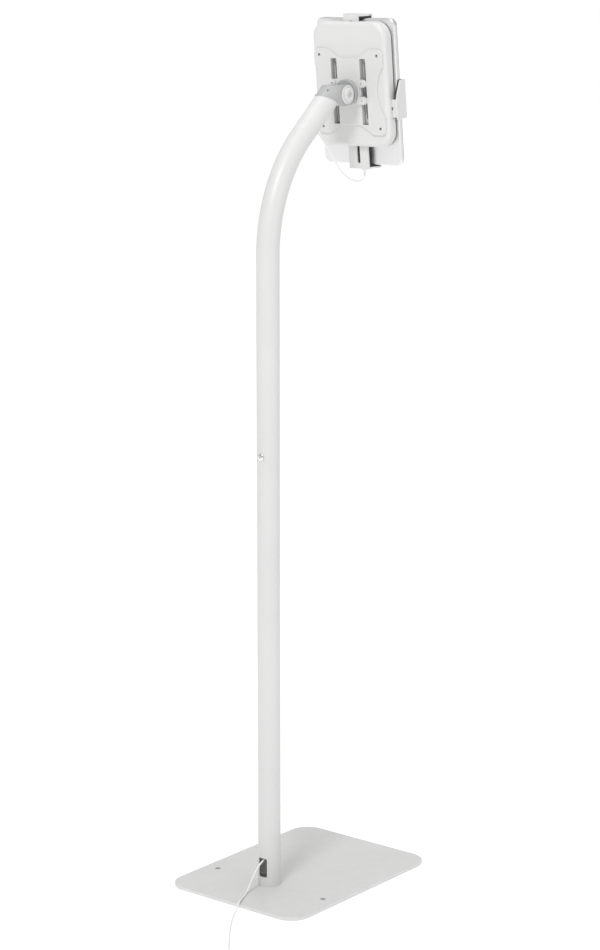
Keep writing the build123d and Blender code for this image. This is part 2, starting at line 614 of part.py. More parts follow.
with BuildPart() as vesa_plate:
    with BuildSketch(head_plane(0)) as plate_outline:
        RectangleRounded(VESA_SIZE, VESA_SIZE, VESA_CORNER)
        for end in (-1, 1):
            edge = end * (VESA_SIZE / 2 + 0.01)
            floor = end * (VESA_SIZE / 2 - CONCAVE_DEPTH)
            with BuildSketch(mode=Mode.PRIVATE) as scoop:
                Polygon(
                    (-CONCAVE_W / 2, edge),
                    (-CONCAVE_FLOOR / 2, floor),
                    (CONCAVE_FLOOR / 2, floor),
                    (CONCAVE_W / 2, edge),
                    align=None,
                )
                fillet(scoop.vertices().sort_by(lambda v: abs(v.Y))[0:2], CONCAVE_FILLET)
            add(scoop.sketch, mode=Mode.SUBTRACT)
        shoulders = [
            v
            for v in plate_outline.vertices()
            if abs(abs(v.Y) - VESA_SIZE / 2) < GAP and abs(v.X) < CONCAVE_W / 2 + GAP
        ]
        fillet(shoulders, CONCAVE_SHOULDER)
        with Locations((VESA_SIZE / 2 - SIDE_CONCAVE_DEPTH + SIDE_CONCAVE_R, 0)):
            Circle(SIDE_CONCAVE_R, mode=Mode.SUBTRACT)
        with Locations((-VESA_SIZE / 2 + SIDE_CONCAVE_DEPTH - SIDE_CONCAVE_R, 0)):
            Circle(SIDE_CONCAVE_R, mode=Mode.SUBTRACT)
    extrude(amount=VESA_T)
    chamfer(vesa_plate.faces().sort_by(Axis(HEAD.origin, HEAD.z_dir))[0].outer_wire().edges(), 0.5)
    with BuildSketch(head_plane(VESA_T)):
        Rectangle(RAIL_W, RAIL_H)
    extrude(amount=RAIL_DEPTH - VESA_T)
    with BuildSketch(head_plane(0)):
        with Locations((-GROOVE_X, 0), (GROOVE_X, 0)):
            Rectangle(GROOVE_W, RAIL_H)
    extrude(amount=GROOVE_DEPTH, mode=Mode.SUBTRACT)
    with BuildSketch(head_plane(GROOVE_LIP)):
        with Locations((-GROOVE_X, 0), (GROOVE_X, 0)):
            Rectangle(GROOVE_UNDERCUT_W, VESA_SIZE)
    extrude(amount=GROOVE_DEPTH - GROOVE_LIP, mode=Mode.SUBTRACT)
    with BuildSketch(head_plane(GROOVE_DEPTH)):
        with Locations((-GROOVE_X, 0), (GROOVE_X, 0)):
            SlotOverall(GROOVE_FLOOR_L, GROOVE_FLOOR_W, rotation=90)
    extrude(amount=RAIL_DEPTH, mode=Mode.SUBTRACT)
    with BuildSketch(head_plane(0)):
        Circle(POCKET_R)
    extrude(amount=POCKET_DEPTH, mode=Mode.SUBTRACT)
    with BuildSketch(head_plane(0)):
        with Locations(*VESA_POINTS):
            Circle(VESA_HOLE_R)
    extrude(amount=VESA_T, mode=Mode.SUBTRACT)
    with BuildSketch(head_plane(VESA_T)):
        with Locations(*PLATE_SCREW_POINTS):
            Circle(PLATE_SCREW_R + FIT)
    extrude(amount=-PLATE_SCREW_BITE - FIT, mode=Mode.SUBTRACT)
write(vesa_plate, "vesa_plate")

with BuildPart() as plate_screws:
    for x, y in PLATE_SCREW_POINTS:
        with BuildSketch(head_plane(CASE_BACK - PLATE_SCREW_BITE, x, y)):
            Circle(PLATE_SCREW_R)
        extrude(amount=PLATE_SCREW_BITE + CASE_WALL)
        with BuildSketch(head_plane(CASE_BACK + CASE_WALL, x, y)):
            Circle(PLATE_SCREW_HEAD_R)
        extrude(amount=PLATE_SCREW_HEAD_H)
write(plate_screws, "plate_screws")

# ---- clamp arms -------------------------------------------------------------------------------------------------
# Each arm runs outwards from the middle of the head. "half" is half the strip's width, "inner" where the strip
# ends inside the casing, "edge" the tablet's edge, "case" the casing's edge, "guide" the place of its guide screw,
# "travel" how far it opens, and "outline" the shape of its end wall: across the arm and depth, from back to front.
ARMS = {
    "top": {
        "out": HEAD.y_dir,
        "start": 0.0,
        "half": 13.0,
        "inner": 56.0,
        "edge": TABLET_TOP,
        "case": CASE_TOP,
        "guide": 88.0,
        "travel": 25.0,
        "outline": [(-13, 0), (13, 0), (13, 4), (22, 12), (22, 21), (-22, 21), (-22, 12), (-13, 4)],
    },
    "bottom": {
        "out": -HEAD.y_dir,
        "start": 0.0,
        "half": 17.0,
        "inner": 50.0,
        "edge": TABLET_BOTTOM,
        "case": CASE_BOTTOM,
        "guide": 66.0,
        "travel": 8.0,
        "outline": [(-17, 0), (17, 0), (17, 4), (23.5, 12), (23.5, 21), (-23.5, 21), (-23.5, 12), (-17, 4)],
    },
    "right": {
        "out": -HEAD.x_dir,
        "start": SIDE_ARM_V,
        "half": 12.4,
        "inner": 22.0,
        "edge": TABLET_W / 2,
        "case": CASE_W / 2,
        "guide": 56.0,
        "travel": 25.0,
        "outline": [(-15.3, 0), (13, 0), (22, 3), (37.8, 10), (37.8, 21), (-15.3, 21)],
    },
    "left": {
        "out": HEAD.x_dir,
        "start": SIDE_ARM_V,
        "half": 12.4,
        "inner": 22.0,
        "edge": TABLET_W / 2,
        "case": CASE_W / 2,
        "guide": 56.0,
        "travel": 25.0,
        "outline": [(-15.3, 0), (13, 0), (22, 3), (37.8, 10), (37.8, 21), (-15.3, 21)],
    },
}


def arm_side(arm):
    """Plane with x outwards along an arm, y towards the screen and z across it."""
    origin = HEAD.from_local_coords((0, arm["start"], 0))
    return Plane(origin=origin, x_dir=arm["out"], z_dir=arm["out"].cross(HEAD.z_dir))


def arm_face(arm, depth):
    """Plane with x outwards along an arm and z towards the screen, at a depth."""
    side = arm_side(arm)
    return Plane(origin=side.from_local_coords((0, depth, 0)), x_dir=side.x_dir, z_dir=HEAD.z_dir)


def arm_end(arm, distance):
    """Plane across an arm at a distance from the middle: x across, y towards the screen, z inwards."""
    side = arm_side(arm)
    return Plane(origin=side.from_local_coords((distance, 0, 0)), x_dir=side.z_dir, z_dir=-side.x_dir)


def clipped(outline, low, high):
    """The end wall's outline between two depths, for its rubber lining."""
    depths = [min(max(depth, low), high) for across, depth in outline]
    points = [(across, depth) for (across, d), depth in zip(outline, depths)]
    return [p for i, p in enumerate(points) if p != points[i - 1]]


def front_span(arm):
    """The range across the arm that its front edge covers."""
    across = [a for a, depth in arm["outline"] if depth == max(d for _, d in arm["outline"])]
    return min(across), max(across)


def wall_points(arm, low=0.0, high=ARM_FRONT - ARM_DEPTH):
    """Corner points of the end wall in the plane across the arm."""
    return [(a, ARM_DEPTH + d) for a, d in clipped(arm["outline"], low, high)]


def cable_notch(arm, distance, thickness):
    """Cut the way for the charging plug through the bottom arm's end."""
    with BuildSketch(arm_end(arm, distance)) as notch:
        with Locations((0, (CABLE_NOTCH_REAR + CABLE_NOTCH_FRONT) / 2)):
            Rectangle(CABLE_NOTCH_W, CABLE_NOTCH_FRONT - CABLE_NOTCH_REAR)
    extrude(notch.sketch, amount=thickness, mode=Mode.SUBTRACT)


for side_name, arm in ARMS.items():
    lined_edge = arm["edge"] + GAP + PAD_T
    wall_out = lined_edge + ARM_WALL
    slot_start = arm["guide"] - arm["travel"] - SLOT_W / 2 - SLIDE
    slot_end = lined_edge - SLOT_TO_EDGE
    low, high = front_span(arm)
    with BuildPart() as clamp_arm:
        with BuildSketch(arm_face(arm, ARM_DEPTH)):
            with Locations(((arm["inner"] + wall_out) / 2, 0)):
                Rectangle(wall_out - arm["inner"], 2 * arm["half"])
            with Locations(((slot_start + slot_end) / 2, 0)):
                SlotOverall(slot_end - slot_start, SLOT_W, mode=Mode.SUBTRACT)
        extrude(amount=ARM_T)
        with BuildSketch(arm_end(arm, wall_out)):
            Polygon(*wall_points(arm), align=None)
        extrude(amount=ARM_WALL)
        with BuildSketch(arm_end(arm, wall_out)):
            with Locations(((low + high) / 2, ARM_FRONT - ARM_T / 2)):
                Rectangle(high - low, ARM_T)
        extrude(amount=wall_out - arm["edge"] + LIP_REACH)
        if side_name == "bottom":
            cable_notch(arm, wall_out, ARM_WALL)
    write(clamp_arm, f"{side_name}_arm")

    lining_front = ARM_FRONT - ARM_T
    block_start = arm["case"] + BLOCK_TO_CASE
    with BuildPart() as arm_pad:
        with BuildSketch(arm_end(arm, lined_edge)):
            Polygon(*wall_points(arm, ARM_T, lining_front - ARM_DEPTH), align=None)
        extrude(amount=PAD_T)
        with BuildSketch(arm_end(arm, lined_edge)):
            with Locations(((low + high) / 2, lining_front - (lining_front - TABLET_FRONT - GAP) / 2)):
                Rectangle(high - low, lining_front - TABLET_FRONT - GAP)
        extrude(amount=lined_edge - arm["edge"] + LIP_REACH)
        with BuildSketch(arm_face(arm, ARM_DEPTH + ARM_T)):
            with Locations(((block_start + lined_edge) / 2, 0)):
                Rectangle(lined_edge - block_start, 2 * arm["half"])
        extrude(amount=TABLET_BACK - GAP - ARM_DEPTH - ARM_T)
        if side_name == "bottom":
            cable_notch(arm, lined_edge, PAD_T)
    write(arm_pad, f"{side_name}_pad")

GUIDE_PLACES = {name: arm_side(arm).from_local_coords((arm["guide"], 0, 0)) for name, arm in ARMS.items()}
GUIDE_POINTS = [HEAD.to_local_coords(p) for p in GUIDE_PLACES.values()]

with BuildPart() as guide_screws:
    for p in GUIDE_POINTS:
        with BuildSketch(head_plane(ARM_DEPTH - GAP - GUIDE_HEAD_H, p.X, p.Y)):
            Circle(GUIDE_HEAD_R)
        extrude(amount=GUIDE_HEAD_H)
        with BuildSketch(head_plane(ARM_DEPTH - GAP, p.X, p.Y)):
            Circle(GUIDE_R)
        extrude(amount=GUIDE_BACK + GUIDE_T - ARM_DEPTH)
write(guide_screws, "guide_screws")

BOSS_POINTS = [(x, CASE_UP + y) for x in (-BOSS_X, BOSS_X) for y in (-BOSS_Y, BOSS_Y)]

with BuildPart() as guide_plate:
    with BuildSketch(head_plane(GUIDE_BACK, 0, CASE_UP)):
        RectangleRounded(GUIDE_W, GUIDE_H, 6)
    extrude(amount=GUIDE_T)
    for arm in ARMS.values():
        rib_x = (arm["guide"] + arm["case"] - CASE_WALL) / 2 - GUIDE_RIB_BACK
        rib_length = min(GUIDE_RIB_L, 2 * (arm["case"] - CASE_WALL - GUIDE_RIB_TO_WALL - rib_x))
        with BuildSketch(arm_face(arm, ARM_DEPTH)):
            for side in (-1, 1):
                with Locations((rib_x, side * (arm["half"] + SLIDE + GUIDE_RIB / 2))):
                    Rectangle(rib_length, GUIDE_RIB)
        extrude(amount=GUIDE_BACK - ARM_DEPTH + GAP)
    with BuildSketch(head_plane(ARM_DEPTH)):
        with Locations(*BOSS_POINTS):
            Circle(BOSS_R + SLIDE)
        with Locations(*[(p.X, p.Y) for p in GUIDE_POINTS]):
            Circle(GUIDE_R + FIT)
    extrude(amount=CASE_OPEN, mode=Mode.SUBTRACT)
write(guide_plate, "guide_plate")

# ---- casing -----------------------------------------------------------------------------------------------------
with BuildPart() as case_rear_shell:
    with BuildSketch(head_plane(CASE_BACK, 0, CASE_UP)):
        RectangleRounded(CASE_W, CASE_H, CASE_CORNER)
    extrude(amount=CASE_SHELL_DEPTH)
    fillet(case_rear_shell.faces().sort_by(Axis(HEAD.origin, HEAD.z_dir))[0].edges(), CASE_EDGE)
    with BuildSketch(head_plane(CASE_BACK + CASE_WALL, 0, CASE_UP)):
        RectangleRounded(CASE_W - 2 * CASE_WALL, CASE_H - 2 * CASE_WALL, CASE_CORNER - CASE_WALL)
    extrude(amount=CASE_SHELL_DEPTH, mode=Mode.SUBTRACT)
    with BuildSketch(head_plane(CASE_BACK + CASE_WALL)):
        with Locations(*BOSS_POINTS):
            Circle(BOSS_R)
    extrude(amount=CASE_SHELL_DEPTH - CASE_WALL)
    with BuildSketch(head_plane(CASE_OPEN)):
        with Locations(*BOSS_POINTS):
            Circle(CASE_SCREW_R + FIT)
    extrude(amount=-CASE_SCREW_L, mode=Mode.SUBTRACT)
    with BuildSketch(head_plane(0)):
        Rectangle(RAIL_W + 2 * SLIDE, RAIL_H + 2 * SLIDE)
        with Locations(*VESA_POINTS):
            Circle(VESA_HOLE_R)
        with Locations(*PLATE_SCREW_POINTS):
            Circle(PLATE_SCREW_R + FIT)
    extrude(amount=CASE_BACK + CASE_WALL + 1, mode=Mode.SUBTRACT)
    for arm in ARMS.values():
        with BuildSketch(arm_face(arm, ARM_DEPTH - SLIDE)):
            with Locations((arm["case"], 0)):
                Rectangle(4 * CASE_WALL, 2 * (arm["half"] + SLIDE))
        extrude(amount=ARM_T + 2 * SLIDE, mode=Mode.SUBTRACT)
write(case_rear_shell, "case_rear_shell")

with BuildPart() as case_front_cover:
    with BuildSketch(head_plane(CASE_OPEN, 0, CASE_UP)):
        RectangleRounded(CASE_W, CASE_H, CASE_CORNER)
    extrude(amount=COVER_T)
    fillet(case_front_cover.faces().sort_by(Axis(HEAD.origin, HEAD.z_dir))[-1].edges(), COVER_EDGE)
    for x, y in BOSS_POINTS:
        with BuildSketch(turned(head_plane(CASE_FRONT, x, y))):
            screw_outline(CASE_SCREW_HEAD_R + FIT, -CASE_SCREW_HEAD_H, CASE_SCREW_R + FIT, -COVER_T)
        revolve(axis=Axis(head_plane(0, x, y).origin, HEAD.z_dir), mode=Mode.SUBTRACT)
write(case_front_cover, "case_front_cover")

with BuildPart() as case_screws:
    for x, y in BOSS_POINTS:
        with BuildSketch(turned(head_plane(CASE_FRONT, x, y))):
            screw_outline(CASE_SCREW_HEAD_R, -CASE_SCREW_HEAD_H, CASE_SCREW_R, -CASE_SCREW_L)
        revolve(axis=Axis(head_plane(0, x, y).origin, HEAD.z_dir))
write(case_screws, "case_screws")

with BuildPart() as case_pads:
    for x, y in BOSS_POINTS:
        with BuildSketch(head_plane(CASE_FRONT, x * 0.8, y * 0.8)):
            Circle(REST_PAD_R)
        extrude(amount=TABLET_BACK - CASE_FRONT - GAP)
write(case_pads, "case_pads")

# ---- tablet -----------------------------------------------------------------------------------------------------
GLASS_BACK = TABLET_FRONT - GLASS_T
INSIDE_BACK = TABLET_BACK + TABLET_WALL
CAMERA_POINT = (TABLET_W / 2 - CAMERA_IN, TABLET_TOP - 11.0)
JACK_X = JACK_IN - TABLET_W / 2
POWER_POINT = (TABLET_W / 2 - POWER_IN, TABLET_TOP)
VOLUME_POINT = (TABLET_W / 2, 62.0)
HOME_POINT = (0.0, HOME_UP - TABLET_BOTTOM)


def key_shape(point, length, across, outward, amount):
    """A rounded key in the tablet's edge, or with more width the hole that it moves in."""
    normal = HEAD.y_dir if outward == "up" else HEAD.x_dir
    along = HEAD.x_dir if outward == "up" else HEAD.y_dir
    origin = HEAD.from_local_coords((point[0], point[1], TABLET_MID)) - normal * KEY_DEPTH
    with BuildSketch(Plane(origin=origin, x_dir=along, z_dir=normal)) as key:
        SlotOverall(length, across)
    return extrude(key.sketch, amount=amount, dir=normal, mode=Mode.PRIVATE)


with BuildPart() as tablet_shell:
    with BuildSketch(head_plane(TABLET_BACK, 0, TABLET_V)):
        RectangleRounded(TABLET_W, TABLET_H, TABLET_CORNER)
    extrude(amount=TABLET_T - GLASS_T)
    fillet(tablet_shell.faces().sort_by(Axis(HEAD.origin, HEAD.z_dir))[0].edges(), TABLET_EDGE)
    with BuildSketch(head_plane(INSIDE_BACK, 0, TABLET_V)):
        RectangleRounded(TABLET_W - 2 * TABLET_WALL, TABLET_H - 2 * TABLET_WALL, TABLET_CORNER - TABLET_WALL)
    extrude(amount=TABLET_T, mode=Mode.SUBTRACT)
    with BuildSketch(head_plane(0, *CAMERA_POINT)):
        Circle(CAMERA_R + FIT)
    extrude(amount=INSIDE_BACK, mode=Mode.SUBTRACT)
    jack_plane = Plane(
        origin=HEAD.from_local_coords((JACK_X, TABLET_TOP, TABLET_MID)), x_dir=HEAD.x_dir, z_dir=HEAD.y_dir
    )
    with BuildSketch(jack_plane):
        Circle(JACK_R)
    extrude(amount=-JACK_DEPTH, mode=Mode.SUBTRACT)
    port_plane = Plane(
        origin=HEAD.from_local_coords((0, -TABLET_BOTTOM, TABLET_MID)), x_dir=HEAD.x_dir, z_dir=HEAD.y_dir
    )
    with BuildSketch(port_plane):
        SlotOverall(PORT_W + 2 * PORT_WALL, PORT_H + 2 * PORT_WALL)
    extrude(amount=PORT_DEPTH, mode=Mode.SUBTRACT)
    add(key_shape(POWER_POINT, KEY_LEN + GAP, KEY_W + GAP, "up", 2 * KEY_DEPTH), mode=Mode.SUBTRACT)
    add(key_shape(VOLUME_POINT, ROCKER_LEN + GAP, KEY_W + GAP, "side", 2 * KEY_DEPTH), mode=Mode.SUBTRACT)
write(tablet_shell, "tablet_shell")

with BuildPart() as tablet_glass:
    with BuildSketch(head_plane(GLASS_BACK, 0, TABLET_V)):
        RectangleRounded(TABLET_W, TABLET_H, TABLET_CORNER)
    extrude(amount=GLASS_T)
    chamfer(tablet_glass.faces().sort_by(Axis(HEAD.origin, HEAD.z_dir))[-1].outer_wire().edges(), 0.4)
    with BuildSketch(head_plane(GLASS_BACK, *HOME_POINT)):
        Circle(HOME_R + FIT)
    extrude(amount=GLASS_T, mode=Mode.SUBTRACT)
write(tablet_glass, "tablet_glass")

with BuildPart() as home_button:
    with BuildSketch(head_plane(TABLET_FRONT - HOME_T, *HOME_POINT)):
        Circle(HOME_R)
    extrude(amount=HOME_T)
    with BuildSketch(head_plane(TABLET_FRONT, *HOME_POINT)):
        Circle(HOME_R - 0.6)
    extrude(amount=-0.2, mode=Mode.SUBTRACT)
write(home_button, "home_button")

with BuildPart() as power_button:
    add(key_shape(POWER_POINT, KEY_LEN - GAP, KEY_W - GAP, "up", KEY_DEPTH + KEY_PROUD))
write(power_button, "power_button")

with BuildPart() as volume_rocker:
    add(key_shape(VOLUME_POINT, ROCKER_LEN - GAP, KEY_W - GAP, "side", KEY_DEPTH + KEY_PROUD))
write(volume_rocker, "volume_rocker")

with BuildPart() as tablet_camera:
    with BuildSketch(head_plane(TABLET_BACK - CAMERA_PROUD, *CAMERA_POINT)):
        Circle(CAMERA_R)
    extrude(amount=CAMERA_PROUD + TABLET_WALL + 1.5)
write(tablet_camera, "tablet_camera")

with BuildPart() as tablet_display:
    with BuildSketch(head_plane(GLASS_BACK - DISPLAY_T, 0, TABLET_V)):
        Rectangle(TABLET_W - 2 * DISPLAY_SIDE, TABLET_H - 2 * DISPLAY_END)
    extrude(amount=DISPLAY_T)
write(tablet_display, "tablet_display")

with BuildPart() as tablet_battery:
    with BuildSketch(head_plane(INSIDE_BACK, (BATTERY_LEFT - BATTERY_RIGHT) / 2, TABLET_V)):
        RectangleRounded(TABLET_W - BATTERY_LEFT - BATTERY_RIGHT, BATTERY_H, 2)
    extrude(amount=BATTERY_T)
write(tablet_battery, "tablet_battery")

with BuildPart() as tablet_board:
    with BuildSketch(head_plane(INSIDE_BACK, TABLET_W / 2 - BOARD_IN, TABLET_V)):
        Rectangle(BOARD_SIZE[0], BOARD_SIZE[1])
    extrude(amount=BOARD_SIZE[2])
write(tablet_board, "tablet_board")

with BuildPart() as tablet_port:
    with BuildSketch(port_plane):
        SlotOverall(PORT_W + 2 * PORT_WALL - FIT, PORT_H + 2 * PORT_WALL - FIT)
    extrude(amount=PORT_DEPTH)
    with BuildSketch(port_plane):
        SlotOverall(PORT_W, PORT_H)
    extrude(amount=PORT_DEPTH - PORT_WALL, mode=Mode.SUBTRACT)
write(tablet_port, "tablet_port")

with BuildPart() as charging_plug:
    with BuildSketch(port_plane.offset(-GAP)):
        RectangleRounded(PLUG_W, PLUG_T, PLUG_T / 2 - 0.1)
    extrude(amount=GAP - PLUG_L, taper=2)
    with BuildSketch(port_plane.offset(-GAP)):
        SlotOverall(PLUG_TONGUE_W, PLUG_TONGUE_T)
    extrude(amount=PLUG_TONGUE_L)
write(charging_plug, "charging_plug")

# ---- cable ------------------------------------------------------------------------------------------------------
# Every route is a list of points chosen by hand: forward of the pole, height, and place towards -X.
PLUG_END = POLE_SIDE.to_local_coords(port_plane.from_local_coords((0, 0, -PLUG_L)))
EXIT_OUT = (
    EXIT_CENTRE[0] + (TUBE_R + GROMMET_FLANGE_T) * cos(SLOPE),
    EXIT_CENTRE[1] - (TUBE_R + GROMMET_FLANGE_T) * sin(SLOPE),
)
NECK_LOOP = [
    (106.21, 1061.43, 0),
    (111.65, 1055.16, 0),
    (119.3, 1048.6, 0),
    (129.0, 1039.0, 0),
    (138.5, 1028.3, 0),
    (147.5, 1017.3, 0),
    (156.2, 1007.3, 0),
    (165.5, 999.3, 0),
    (170.5, 996.25, 0),
]
HEAD_LOOP = [
    (170.5, 996.25, 0),
    (175.5, 993.2, 0),
    (185.5, 989.2, 0),
    (195.5, 986.9, 0),
    (203.4, 986.6, 0),
    (209.2, 988.0, 0),
    (213.4, 991.2, 0),
    (215.41, 996.02, 0),
    (214.89, 1000.99, 0),
]
INSIDE = [
    (-16.0, 43.0, 0),
    (-12.0, 45.2, 0.2),
    (-8.0, 50.5, 0),
    (-5.5, 58.0, 0.3),
    (-4.2, 70.0, 0.8),
    (-3.6, 92.0, 1.5),
    (-2.2, 132.0, 2.2),
    (0.6, 184.0, 2.4),
    (2.0, 240.0, 1.2),
    (0.9, 298.0, -0.9),
    (-1.2, 352.0, -2.2),
    (-2.0, 410.0, -1.8),
    (-0.4, 466.0, 0.4),
    (1.6, 520.0, 1.9),
    (3.2, 575.0, 2.2),
    (3.9, 630.0, 1.0),
    (2.8, 686.0, -0.8),
    (0.2, 742.0, -1.9),
    (-1.4, 798.0, -1.4),
    (-0.6, 852.0, -0.4),
    (2.2, 900.0, 0.3),
    (9.8, 948.0, 0.4),
    (25.0, 990.0, 0.2),
    (43.0, 1022.0, 0),
    (56.5, 1039.6, 0),
    (67.0, 1051.4, 0),
    (76.4, 1062.2, 0),
    (82.6, 1070.2, 0),
    (89.3, 1074.0, 0),
    (96.0, 1072.5, 0),
    (101.2, 1067.15, 0),
    (106.21, 1061.43, 0),
]
FLOOR = [
    (-16.0, 43.0, 0),
    (-21.5, 40.0, -0.3),
    (-28.5, 33.8, -0.7),
    (-35.0, 25.6, -1.1),
    (-41.0, 17.6, -1.2),
    (-48.5, 11.4, 0.6),
    (-57.5, 8.2, 3.6),
    (-69.0, 7.4, 8.6),
    (-78.5, 9.2, 13.4),
    (-84.5, 11.0, 16.8),
    (-92.0, 10.2, 20.4),
    (-98.5, 6.4, 23.2),
    (-105.5, 2.6, 26.2),
    (-115.5, 1.3, 31.0),
    (-134.0, 1.3, 43.6),
    (-152.5, 1.3, 56.6),
    (-181.0, 1.3, 79.0),
    (-206.0, 1.3, 99.6),
    (-224.0, 1.5, 115.0),
    (-238.4, 2.2, 128.2),
]
TAIL = [
    (-250.6, 4.4, 157.4),
    (-244.28, 4.0, 165.22),
    (-238.0, 3.5, 173.0),
]


def space(route):
    """Points of a route in space: a place across to the right of the cable's start is towards -X."""
    return [Vector(-across, POLE_Y - forward, height) for forward, height, across in route]


def corner_radii(points):
    """The largest arc radius for each inner point of a route: 0.45 of the shorter run over tan of half the turn."""
    radii = []
    for before, here, after in zip(points, points[1:], points[2:]):
        turn = (here - before).get_angle(after - here)
        shorter = min((here - before).length, (after - here).length)
        radii.append(0.45 * shorter / tan(radians(turn / 2)))
    return radii


def cable(points, name):
    """A round cable along a route of straight runs joined by tangent arcs."""
    radii = corner_radii(points)
    with BuildPart() as piece:
        with BuildLine():
            route = FilletPolyline(*points, radius=radii)
        with BuildSketch(Plane(origin=route @ 0, z_dir=route % 0)):
            Circle(CABLE_D / 2)
        sweep(path=route)
    length = route.length
    ideal = pi * CABLE_D**2 / 4 * length
    print(name, "length", round(length, 1), "smallest radius", round(min(radii), 1), end=" ")
    print("volume over section times length", round(piece.part.volume / ideal, 4))
    write(piece, name)


print("charging plug's end", [round(v, 2) for v in PLUG_END], "neck outlet", [round(v, 2) for v in EXIT_OUT])
cable(space(NECK_LOOP), "cable_loop_neck")
cable(space(HEAD_LOOP), "cable_loop_head")
cable(space(INSIDE), "cable_inside")
cable(space(FLOOR), "cable_floor")
cable(space(TAIL), "cable_tail")

with BuildPart() as cable_coil:
    coil_section = Plane(origin=(*COIL_CENTRE, TIE_T), x_dir=(1, 0, 0), z_dir=(0, -1, 0))
    with BuildSketch(coil_section):
        with Locations((COIL_MID_R, COIL_H / 2)):
            RectangleRounded(COIL_W, COIL_H, CABLE_D / 2)
    revolve(axis=Axis((*COIL_CENTRE, 0), (0, 0, 1)))
write(cable_coil, "cable_coil")

with BuildPart() as coil_tie:
    with BuildSketch(Plane(origin=(COIL_CENTRE[0] - COIL_MID_R, COIL_CENTRE[1], 0))):
        RectangleRounded(COIL_W + 2 * TIE_T, TIE_W, 0.5)
    extrude(amount=COIL_H + 2 * TIE_T)
    add(cable_coil.part, mode=Mode.SUBTRACT)
write(coil_tie, "coil_tie")

USB_DIRECTION = Vector(-0.778, -0.628, 0)
with BuildPart() as usb_plug:
    usb_start = Vector(-173.0, POLE_Y + 238.0, USB_BODY[2] / 2)
    usb_plane = Plane(origin=usb_start, x_dir=USB_DIRECTION.cross(Vector(0, 0, 1)), z_dir=USB_DIRECTION)
    with BuildSketch(usb_plane):
        RectangleRounded(USB_BODY[0], USB_BODY[2], 1.5)
    extrude(amount=USB_BODY[1])
    with BuildSketch(usb_plane.offset(USB_BODY[1])):
        Rectangle(USB_SHELL[0], USB_SHELL[2])
        Rectangle(USB_SHELL[0] - 2 * USB_SHELL_WALL, USB_SHELL[2] - 2 * USB_SHELL_WALL, mode=Mode.SUBTRACT)
    extrude(amount=USB_SHELL[1])
write(usb_plug, "usb_plug")
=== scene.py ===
"""Floor stand for a small tablet: finished pieces, materials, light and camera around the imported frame.

Every piece is in metres and in the frame of the CAD model: +Z up, the screen faces -Y, the floor is at 0.
"""

import json
from math import cos, pi, radians, sin, sqrt

import bmesh
import bpy
from bpy.props import FloatProperty, FloatVectorProperty, IntProperty, PointerProperty
from mathutils import Matrix, Vector

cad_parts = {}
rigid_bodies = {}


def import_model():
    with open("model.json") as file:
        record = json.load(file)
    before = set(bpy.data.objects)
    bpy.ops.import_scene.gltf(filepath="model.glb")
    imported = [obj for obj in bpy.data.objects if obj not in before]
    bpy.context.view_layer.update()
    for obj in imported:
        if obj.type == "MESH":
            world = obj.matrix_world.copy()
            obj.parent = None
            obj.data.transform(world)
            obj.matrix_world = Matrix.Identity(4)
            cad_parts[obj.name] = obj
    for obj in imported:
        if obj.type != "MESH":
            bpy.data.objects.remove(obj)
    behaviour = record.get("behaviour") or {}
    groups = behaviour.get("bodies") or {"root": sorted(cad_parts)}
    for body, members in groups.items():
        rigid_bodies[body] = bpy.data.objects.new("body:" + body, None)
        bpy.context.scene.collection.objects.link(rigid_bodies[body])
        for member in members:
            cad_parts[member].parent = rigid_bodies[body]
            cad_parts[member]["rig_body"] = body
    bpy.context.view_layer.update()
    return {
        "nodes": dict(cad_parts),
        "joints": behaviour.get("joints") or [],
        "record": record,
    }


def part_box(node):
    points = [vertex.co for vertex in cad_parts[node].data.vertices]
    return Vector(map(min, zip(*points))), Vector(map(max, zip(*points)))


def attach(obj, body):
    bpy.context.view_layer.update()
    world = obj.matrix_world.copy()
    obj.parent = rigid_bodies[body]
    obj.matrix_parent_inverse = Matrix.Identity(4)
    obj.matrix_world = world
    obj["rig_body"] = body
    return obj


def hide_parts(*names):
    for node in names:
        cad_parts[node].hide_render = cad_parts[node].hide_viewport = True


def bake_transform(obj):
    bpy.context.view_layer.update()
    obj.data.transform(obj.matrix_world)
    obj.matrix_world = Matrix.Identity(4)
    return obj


bl_info = {
    "name": "Tablet floor stand",
    "version": (1, 0, 0),
    "blender": (4, 5, 0),
    "location": "3D view > Sidebar > Tablet stand",
    "description": "Makes the finished pieces, materials and stage of a tablet floor stand around its CAD frame",
    "category": "Object",
}

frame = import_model()
NODES = frame["nodes"]
JOINTS = {joint["name"]: joint for joint in frame["joints"]}
COLOURS = {entry["slot"]: entry["base_color"] for entry in frame["record"]["materials"]}

MM = 0.001
ACROSS = Vector((1, 0, 0))
PIVOT = Vector(JOINTS["head_tilt"]["pos_m"])
HEAD = Vector(JOINTS["head_swivel"]["pos_m"])
TO_SCREEN = Vector(JOINTS["head_swivel"]["axis"]).normalized()
HEAD_UP = TO_SCREEN.cross(ACROSS)


def middle(node):
    """The middle of a CAD node's box."""
    low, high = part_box(node)
    return (low + high) / 2


POLE_AT = middle("lower_tube")
POLE_AT.z = 0
HEAD_MATRIX = Matrix.Translation(HEAD) @ Matrix((ACROSS, HEAD_UP, TO_SCREEN)).transposed().to_4x4()


